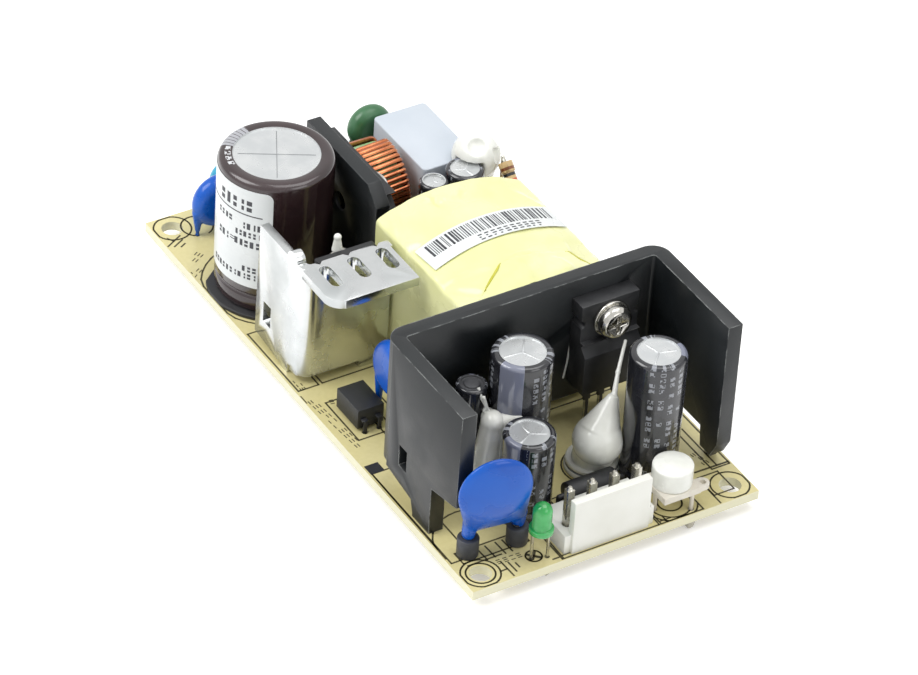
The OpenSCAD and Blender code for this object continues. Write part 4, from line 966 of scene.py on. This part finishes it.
LEGS = [(42.9, -21.7), (43.8, -13.6)]
shell = join("output_disc_skin", lens_disc((46, -19.5), 13.8, -11.5, 11.8, 2.7), *[
    small_ball(x + 0.3, y + (0.2 if y < -17 else -0.2), 5.9, 1.1) for x, y in LEGS
])
take(shell)
bpy.ops.object.mode_set(mode="EDIT")
bpy.ops.mesh.select_all(action="SELECT")
bpy.ops.mesh.convex_hull()
bpy.ops.object.mode_set(mode="OBJECT")
drips = []
for x, y in LEGS:
    for height, size in [(4.1, 1.1), (4.8, 1.15), (5.5, 1.15), (6.2, 1.2)]:
        drips.append(small_ball(x + 0.12 * (height - 4.1), y, height, size))
shell = join("output_disc_capacitor_skin", shell, *drips)
apply(shell, "REMESH", mode="VOXEL", voxel_size=0.16 * MM)
apply(shell, "SMOOTH", factor=0.5, iterations=14)
shell.data.materials.append(blue)
take(shell)
bpy.ops.object.shade_smooth()
shell = join("output_disc_capacitor_dipped", shell, legs_of("output_disc_capacitor", 3.5))
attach(shell, "root")
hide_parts("output_disc_capacitor")
for source, material, voxel in [
    ("input_disc_capacitor", blue, 0.14), ("line_disc_capacitor", teal, 0.14),
    ("bridging_disc_capacitor", blue, 0.14), ("varistor", dark_green, 0.14),
]:
    skin = melt(source, material, voxel, 6)
    take(skin)
print("five dipped parts")

# %% [markdown]
# ## The common-mode choke
# Two halves of enamelled wire are wound turn by turn round a coated ring. One turn is a round
# wire bent into a rounded loop. It is made once for each side of its layer and set round the
# ring at an even step, each copy with its own mesh.
# %% Turns of wire round the ring
CHOKE = (-34.8, 6.9, 7.9)
WIRE = 0.36


def wire(name, points, radius, closed=False, sides=2):
    """a round wire along a path, as a mesh"""
    curve = bpy.data.curves.new(name, "CURVE")
    curve.dimensions = "3D"
    curve.bevel_depth = radius * MM
    curve.bevel_resolution = sides
    curve.use_fill_caps = True
    line = curve.splines.new("POLY")
    line.points.add(len(points) - 1)
    for point, target in zip(line.points, points):
        point.co = (*target, 1)
    line.use_cyclic_u = closed
    piece = bpy.data.objects.new(name, curve)
    scene.collection.objects.link(piece)
    take(piece)
    bpy.ops.object.convert(target="MESH")
    return settle(bpy.context.object, name)


def loop_points(angle, inner, outer, half, skew):
    """the rounded loop of one turn, in the plane through the ring's axis"""
    c, s = math.cos(angle), math.sin(angle)
    side = Vector((-s, 0, c)) * skew * MM
    centre = place(*CHOKE)
    points = []
    for (r, y), first in zip([(outer, half), (inner, half), (inner, -half), (outer, -half)], (0, 90, 180, 270)):
        bend = 0.7
        cr = r - bend if r == outer else r + bend
        cy = y - bend if y > 0 else y + bend
        for step in (0, 30, 60, 90):
            a = math.radians(first + step)
            rr, yy = cr + bend * math.cos(a), cy + bend * math.sin(a)
            points.append(centre + Vector((rr * c, 0, rr * s)) * MM + Vector((0, yy, 0)) * MM + side * (yy / half))
    return points


def winding(source, first, legs):
    """one half of the winding with its two legs"""
    parts = []
    for i in range(19):
        angle = math.radians(first + (i + 0.5) * 146 / 19)
        inner = 2.95 if i % 2 else 3.5
        parts.append(wire("turn", loop_points(angle, inner - 0.36, 6.84, 3.22, 0.18), WIRE, closed=True, sides=1))
    for x, y in legs:
        parts.append(wire("leg", [place(x, y, -TOP + 0.05), place(x, y, 3.2), place(x + 0.2, y, 4.4)], WIRE, sides=1))
    piece = join(source + "_turns", *parts)
    piece.data.materials.clear()
    piece.data.materials.append(copper)
    outward(piece)
    smooth(piece, 60)
    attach(piece, "root")
    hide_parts(source)
    return piece


winding("choke_winding_left", 134, [(-38.4, 4.4), (-38.4, 9.4)])
winding("choke_winding_right", -46, [(-29.7, 4.4), (-29.7, 9.4)])
dress("choke_core", core_green, 0)
print("38 turns on the choke")

# %% [markdown]
# ## The taped transformer
# Several turns of thin yellow polyester film hold the transformer. Film can't stretch, so over
# the arched top it creases, and at the near end a flap is folded down between two slits. A fine
# grid is laid round the section and its points are moved out or in along a few creases.
# %% Film round the transformer
from mathutils import noise as wave

X0, X1, Y0, Y1 = -9.2, 18.8, -8.1, 18.7
CROWN_Y, CROWN_Z, LOW_Z = 3.0, 25.3, 2.5
DROPS = (2.6, 3.9)


def crown(y):
    """height of the arched top across the board"""
    k = 0 if y < CROWN_Y else 1
    reach = (CROWN_Y - Y0, Y1 - CROWN_Y)[k]
    r = (reach * reach + DROPS[k] ** 2) / (2 * DROPS[k])
    return CROWN_Z - r + math.sqrt(max(r * r - (y - CROWN_Y) ** 2, 0))


CREASES = [
    (-8.6, -2.5, -6.2, 3.4, 0.28, 0.5), (-6.2, 3.4, -7.6, 6.4, 0.22, 0.45), (-8.8, 1.2, -4.2, 1.0, -0.25, 0.7),
    (-7.2, 7.0, -4.4, 4.2, -0.2, 0.6), (-9.0, 9.0, -5.5, 8.2, 0.16, 0.6), (9.6, -7.6, 11.6, 1.2, 0.2, 0.6),
    (11.2, -7.9, 18.0, -2.6, -0.25, 0.8), (8.8, 14.6, 12.6, 13.2, 0.2, 0.5), (12.4, 18.0, 17.4, 16.2, 0.25, 0.7),
    (11.0, 3.2, 10.9, 8.5, 0.24, 0.45), (-1.8, -7.6, 1.2, -4.6, 0.15, 0.8), (-5.5, 14.0, -1.0, 17.5, 0.18, 0.7),
    (13.0, 4.0, 18.4, 2.6, 0.3, 0.9), (13.4, 9.6, 18.4, 10.6, 0.25, 0.9), (-9.0, -5.6, -3.0, -7.4, 0.2, 0.7),
]


def crease(x, y):
    """how far the film stands out at a point of the top"""
    lift = 0.0
    for ax, ay, bx, by, height, width in CREASES:
        length = (bx - ax) ** 2 + (by - ay) ** 2
        t = min(max(((x - ax) * (bx - ax) + (y - ay) * (by - ay)) / length, 0), 1)
        away = math.hypot(x - ax - t * (bx - ax), y - ay - t * (by - ay))
        lift += height * math.exp(-((away / width) ** 2)) * math.sin(math.pi * min(max(t, 0.08), 0.92))
    return lift


def slit_y(side, x):
    """where a slit runs: the two spread towards the near end"""
    return 1.5 - 1.3 * (x - 11.7) if side < 0 else 13.0 + 0.48 * (x - 12.0)


def step_up(value, low, high):
    """a smooth step from 0 to 1"""
    t = min(max((value - low) / (high - low), 0), 1)
    return t * t * (3 - 2 * t)


def film_lift(x, y):
    """creases, slack and the raised flap between the slits"""
    slack = 0.3 * wave.noise(Vector((x * 0.16, y * 0.16, 1.7))) + 0.12 * wave.noise(Vector((x * 0.45, y * 0.4, 7.1)))
    under_strip = 1 - 0.85 * step_up(3.4 - abs(x - 3.1 + 0.07 * (y - 5.3)), 0, 0.8)
    rim = 11.3 + 0.02 * (y - 6) ** 2
    inside = step_up(x, rim, rim + 0.7) * step_up(y - slit_y(-1, x), -0.3, 0.3) * step_up(slit_y(1, x) - y, -0.3, 0.3)
    flap = (0.55 + 0.25 * wave.noise(Vector((x * 0.5, y * 0.5, 2.2)))) * inside
    return (slack + 1.9 * crease(x, y)) * under_strip + flap


section = [(Y0, LOW_Z)] + [(Y0, LOW_Z + i) for i in range(1, 20)]
section += [(Y0 + (Y1 - Y0) * i / 120, crown(Y0 + (Y1 - Y0) * i / 120)) for i in range(121)]
section += [(Y1, crown(Y1) - i) for i in range(1, 19)] + [(Y1, LOW_Z)]
section += [(Y1 - (Y1 - Y0) * i / 30, LOW_Z) for i in range(1, 30)]
gaps = [math.dist(a, b) for a, b in zip(section, section[1:] + section[:1])]
AROUND, ALONG = 260, 80
loop, walked, index = [], 0.0, 0
for i in range(AROUND):
    target = sum(gaps) * i / AROUND
    while walked + gaps[index] < target:
        walked += gaps[index]
        index += 1
    t = (target - walked) / gaps[index]
    a, b = section[index], section[(index + 1) % len(section)]
    loop.append((a[0] + (b[0] - a[0]) * t, a[1] + (b[1] - a[1]) * t))
for _ in range(3):
    loop = [
        ((loop[i - 1][0] + 2 * p[0] + loop[(i + 1) % AROUND][0]) / 4, (loop[i - 1][1] + 2 * p[1] + loop[(i + 1) % AROUND][1]) / 4)
        for i, p in enumerate(loop)
    ]


def film_shell(name, inset, creased):
    """a tube of film round the section, its grid points moved along the creases"""
    bpy.ops.mesh.primitive_grid_add(x_subdivisions=ALONG, y_subdivisions=AROUND, size=2, location=(0, 0, 0))
    piece = settle(bpy.context.object, name)
    for vertex in piece.data.vertices:
        x = X0 + (vertex.co.x + 1) / 2 * (X1 - X0)
        i = round((vertex.co.y + 1) / 2 * AROUND)
        here, before, after = loop[i % AROUND], loop[(i - 1) % AROUND], loop[(i + 1) % AROUND]
        ty, tz = after[0] - before[0], after[1] - before[1]
        size = math.hypot(ty, tz)
        ny, nz = -tz / size, ty / size
        out = -inset
        if creased:
            if here[1] > 17 and nz > 0.4:
                out += film_lift(x, here[0])
            elif here[1] > 3.2:
                out += 0.12 * wave.noise(Vector((x * 0.2, here[1] * 0.25, here[0] * 0.1 + 4)))
        out = min(out, 0.75)
        vertex.co = place(x, here[0] + ny * out, here[1] + nz * out)
    take(piece)
    bpy.ops.object.mode_set(mode="EDIT")
    bpy.ops.mesh.select_all(action="SELECT")
    bpy.ops.mesh.remove_doubles(threshold=2e-6)
    bpy.ops.mesh.normals_make_consistent(inside=False)
    bpy.ops.object.mode_set(mode="OBJECT")
    return piece


film = film_shell("film", 0.12, True)
film.data.materials.append(tape)
apply(film, "SOLIDIFY", thickness=0.16 * MM, offset=-1.0)
film = smooth(film, 50)
slits = []
for side, first, last in [(-1, 11.9, 16.0), (1, 12.2, 17.2)]:
    bpy.ops.mesh.primitive_grid_add(x_subdivisions=24, y_subdivisions=2, size=1, location=(0, 0, 0))
    slit = settle(bpy.context.object, "slit")
    for vertex in slit.data.vertices:
        t = vertex.co.x + 0.5
        x = first + (last - first) * t
        y = slit_y(side, x) + 0.75 * math.sin(math.pi * t) ** 0.8 * vertex.co.y - 0.22 * side
        vertex.co = place(x, y, crown(y) + film_lift(x, y) * 0.75 - 0.02)
    # each slit is a thin sheet in the darker yellow, painted shade for the dark opening over the tape beneath
    slit.data.materials.append(under_tape_painted_shade)
    apply(slit, "SOLIDIFY", thickness=0.12 * MM, offset=1.0)
    slits.append(slit)
film = join("film", film, *slits)
film.name = "transformer_tape_film"
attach(film, "root")
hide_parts("transformer_tape")
print("film:", len(film.data.polygons), "faces")

# %% [markdown]
# A paper strip is stuck across the arched top. It follows the film, and its print is a row of
# plain upright bars of mixed width with a line of small marks beside them.
# %% A strip with plain bars over the crown
STRIP = (3.1, 5.3, math.radians(4))


def lay_on_crown(piece, above):
    """lay a flat piece, made in the XY plane round the origin, over the arched top"""
    c, s = math.cos(STRIP[2]), math.sin(STRIP[2])
    for vertex in piece.data.vertices:
        x, y = vertex.co.x / MM, vertex.co.y / MM
        px, py = STRIP[0] + c * x - s * y, STRIP[1] + s * x + c * y
        vertex.co = place(px, py, crown(py) + 0.12 * film_lift(px, py) + above)
    piece.data.update()
    return piece


def flat_patch(x0, x1, y0, y1, step=0.7):
    """a flat grid in the XY plane, in millimetres round the origin"""
    bpy.ops.mesh.primitive_grid_add(
        x_subdivisions=max(1, int((x1 - x0) / step)), y_subdivisions=max(1, int((y1 - y0) / step)), size=1,
        location=((x0 + x1) / 2 * MM, (y0 + y1) / 2 * MM, 0),
    )
    bpy.context.object.scale = ((x1 - x0) * MM, (y1 - y0) * MM, 1)
    return settle(bpy.context.object, "patch")


strip = lay_on_crown(flat_patch(-2.8, 2.8, -12.4, 12.4, 0.4), 0.12)
apply(strip, "SOLIDIFY", thickness=0.07 * MM, offset=1.0)
strip.data.materials.append(paper)
strip.name = "barcode_strip"
smooth(strip)
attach(strip, "root")
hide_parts("barcode_label")
bars, y = [], -11.1
dice = random.Random(24)
while y < 11.2:
    w = dice.choice((0.13, 0.13, 0.26, 0.38))
    bars.append(flat_patch(-2.3, 0.55, y, y + w, 1.5))
    y += w + dice.choice((0.14, 0.2, 0.3, 0.42))
for i in range(10):
    y = -3.6 + i * 1.22
    bars.append(flat_patch(1.05, 1.3, y, y + 0.75))
    bars.append(flat_patch(2.15, 2.4, y, y + dice.choice((0.35, 0.75))))
    bars.append(flat_patch(1.6, 1.85, y, y + dice.choice((0.35, 0.75))))
bar_print = lay_on_crown(join("barcode_bars", *bars), 0.205)
apply(bar_print, "SOLIDIFY", thickness=0.02 * MM, offset=0.0)
bar_print.data.materials.append(black_ink)
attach(bar_print, "root")
print("bars:", len(bars))

# %% [markdown]
# ## Small parts with two finishes
# The rod choke is a ferrite rod in a dark sleeve, so its bare end is grey. The resistor is a
# lacquered body with colour rings on a plain wire. Each is a dressed copy of its own shape.
# %% Rod choke, resistor and the hidden parts
rod_sleeve = sleeve_finish("rod_choke_sleeve", (26.9, -12.3), 4.9, 150, 10)
rod = dress("rod_choke", rod_sleeve, 0.15, wire=tin, wire_below=0.25)
rod.data.materials.append(ferrite)
for face in rod.data.polygons:
    away = math.hypot(face.center.x / MM - 26.9, face.center.y / MM + 12.3)
    if face.center.z / MM > TOP + 17.2 and away < 1.95:
        face.material_index = 2

HIGH, LOW = place(-22.5, 24, 14.2), place(-18, 24, 10)
direction = (LOW - HIGH).normalized()
tree = lacquer.node_tree
shader = tree.nodes["Principled BSDF"]
mixed = shader.inputs["Base Color"].links[0].from_socket
along = node(
    tree, "VectorMath",
    {0: node(tree, "VectorMath", {0: node(tree, "TexCoord").outputs["Object"], 1: HIGH}, operation="SUBTRACT").outputs[0], 1: direction},
    operation="DOT_PRODUCT",
).outputs["Value"]
for start, colour in [(0.9, (120, 66, 30)), (1.9, (30, 28, 28)), (2.9, (190, 60, 30)), (4.4, (190, 150, 60))]:
    mixed = layer(tree, between(tree, along, start * MM, (start + 0.5) * MM), mixed, paint(*colour))
tree.links.new(mixed, shader.inputs["Base Color"])
resistor = dress("film_resistor", lacquer, 0)
resistor.data.materials.append(tin)
for face in resistor.data.polygons:
    offset = face.center - HIGH
    along_axis = offset.dot(direction)
    if not -0.05 * MM < along_axis < (LOW - HIGH).length + 0.05 * MM or (offset - direction * along_axis).length < 0.5 * MM:
        face.material_index = 1

hidden = {
    "solder_joints": tin, "transformer_core_left": ferrite, "transformer_core_right": ferrite,
    "transformer_bobbin": moulding, "transformer_winding": copper,
}
for source, material in hidden.items():
    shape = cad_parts[source].data
    shape.materials.clear()
    shape.materials.append(material)
print("every part has its finish")

# %% [markdown]
# ## Sealant drawn out by hand
# The sealant was laid on with a nozzle and drawn away, so it ends in threads. Under the cone it
# has spread into a stepped foot. Between the rod choke and the capacitors it is a sagging web.
# %% Foot, web, threads and a smear
foot = turned("silicone_cone_foot", [
    (0, 0.02), (4.1, 0.02), (4.3, 0.25), (4.3, 0.75), (4.15, 0.95), (3.95, 1.0), (3.95, 1.25), (4.1, 1.3),
    (4.1, 1.75), (3.9, 1.95), (0, 1.95),
], (34, 5.8), 0.0)
foot.data.materials.append(silicone)
foot.data.materials.append(score_and_painted_shade)
# the groove round the foot's waist takes the darker grey as painted shade
for face in foot.data.polygons:
    if 0.96 < face.center.z / MM - TOP < 1.28:
        face.material_index = 1
balls = [
    small_ball(*p) for p in [
        (30.2, -11.6, 13.4, 0.7), (33.6, -7.6, 14.3, 0.45), (32.0, -10.4, 13.0, 0.9), (31.6, -12.8, 1.9, 1.9), (32.4, -11.0, 6.0, 1.6),
    ]
]
web = join("silicone_web", *balls)
take(web)
bpy.ops.object.mode_set(mode="EDIT")
bpy.ops.mesh.select_all(action="SELECT")
bpy.ops.mesh.convex_hull()
bpy.ops.object.mode_set(mode="OBJECT")
apply(web, "REMESH", mode="VOXEL", voxel_size=0.16 * MM)
apply(web, "SMOOTH", factor=0.5, iterations=16)
web.data.materials.append(silicone)
take(web)
bpy.ops.object.shade_smooth()
threads = join(
    "silicone_threads",
    wire("a", [place(30.3, -11.5, 13.6), place(29.9, -11.9, 14.6), place(30.1, -11.6, 15.4), place(29.5, -12.1, 16.6), place(28.6, -12.2, 18.1)], 0.26),
    wire("b", [place(31.0, -10.9, 13.5), place(30.4, -11.2, 14.6), place(30.2, -11.6, 15.5)], 0.16),
)
threads.data.materials.clear()
threads.data.materials.append(silicone)
smooth(threads, 60)
smear = wire("silicone_smear", [Vector((0.02304, y * MM, (z + TOP) * MM)) for y, z in [(7.78, 18.35), (7.67, 15.1), (7.38, 11.9), (6.89, 8.95)]], 0.17)
smear.data.materials.clear()
smear.data.materials.append(silicone)
for piece, name in [(foot, "silicone"), (web, "silicone"), (threads, "silicone"), (smear, "silicone")]:
    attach(piece, "root")
print("sealant is in place")

# %% [markdown]
# ## Clearing the selection
# The dressed model has to stay in the frame's box.
# %% Finish
take(floor)
bpy.ops.object.select_all(action="DESELECT")
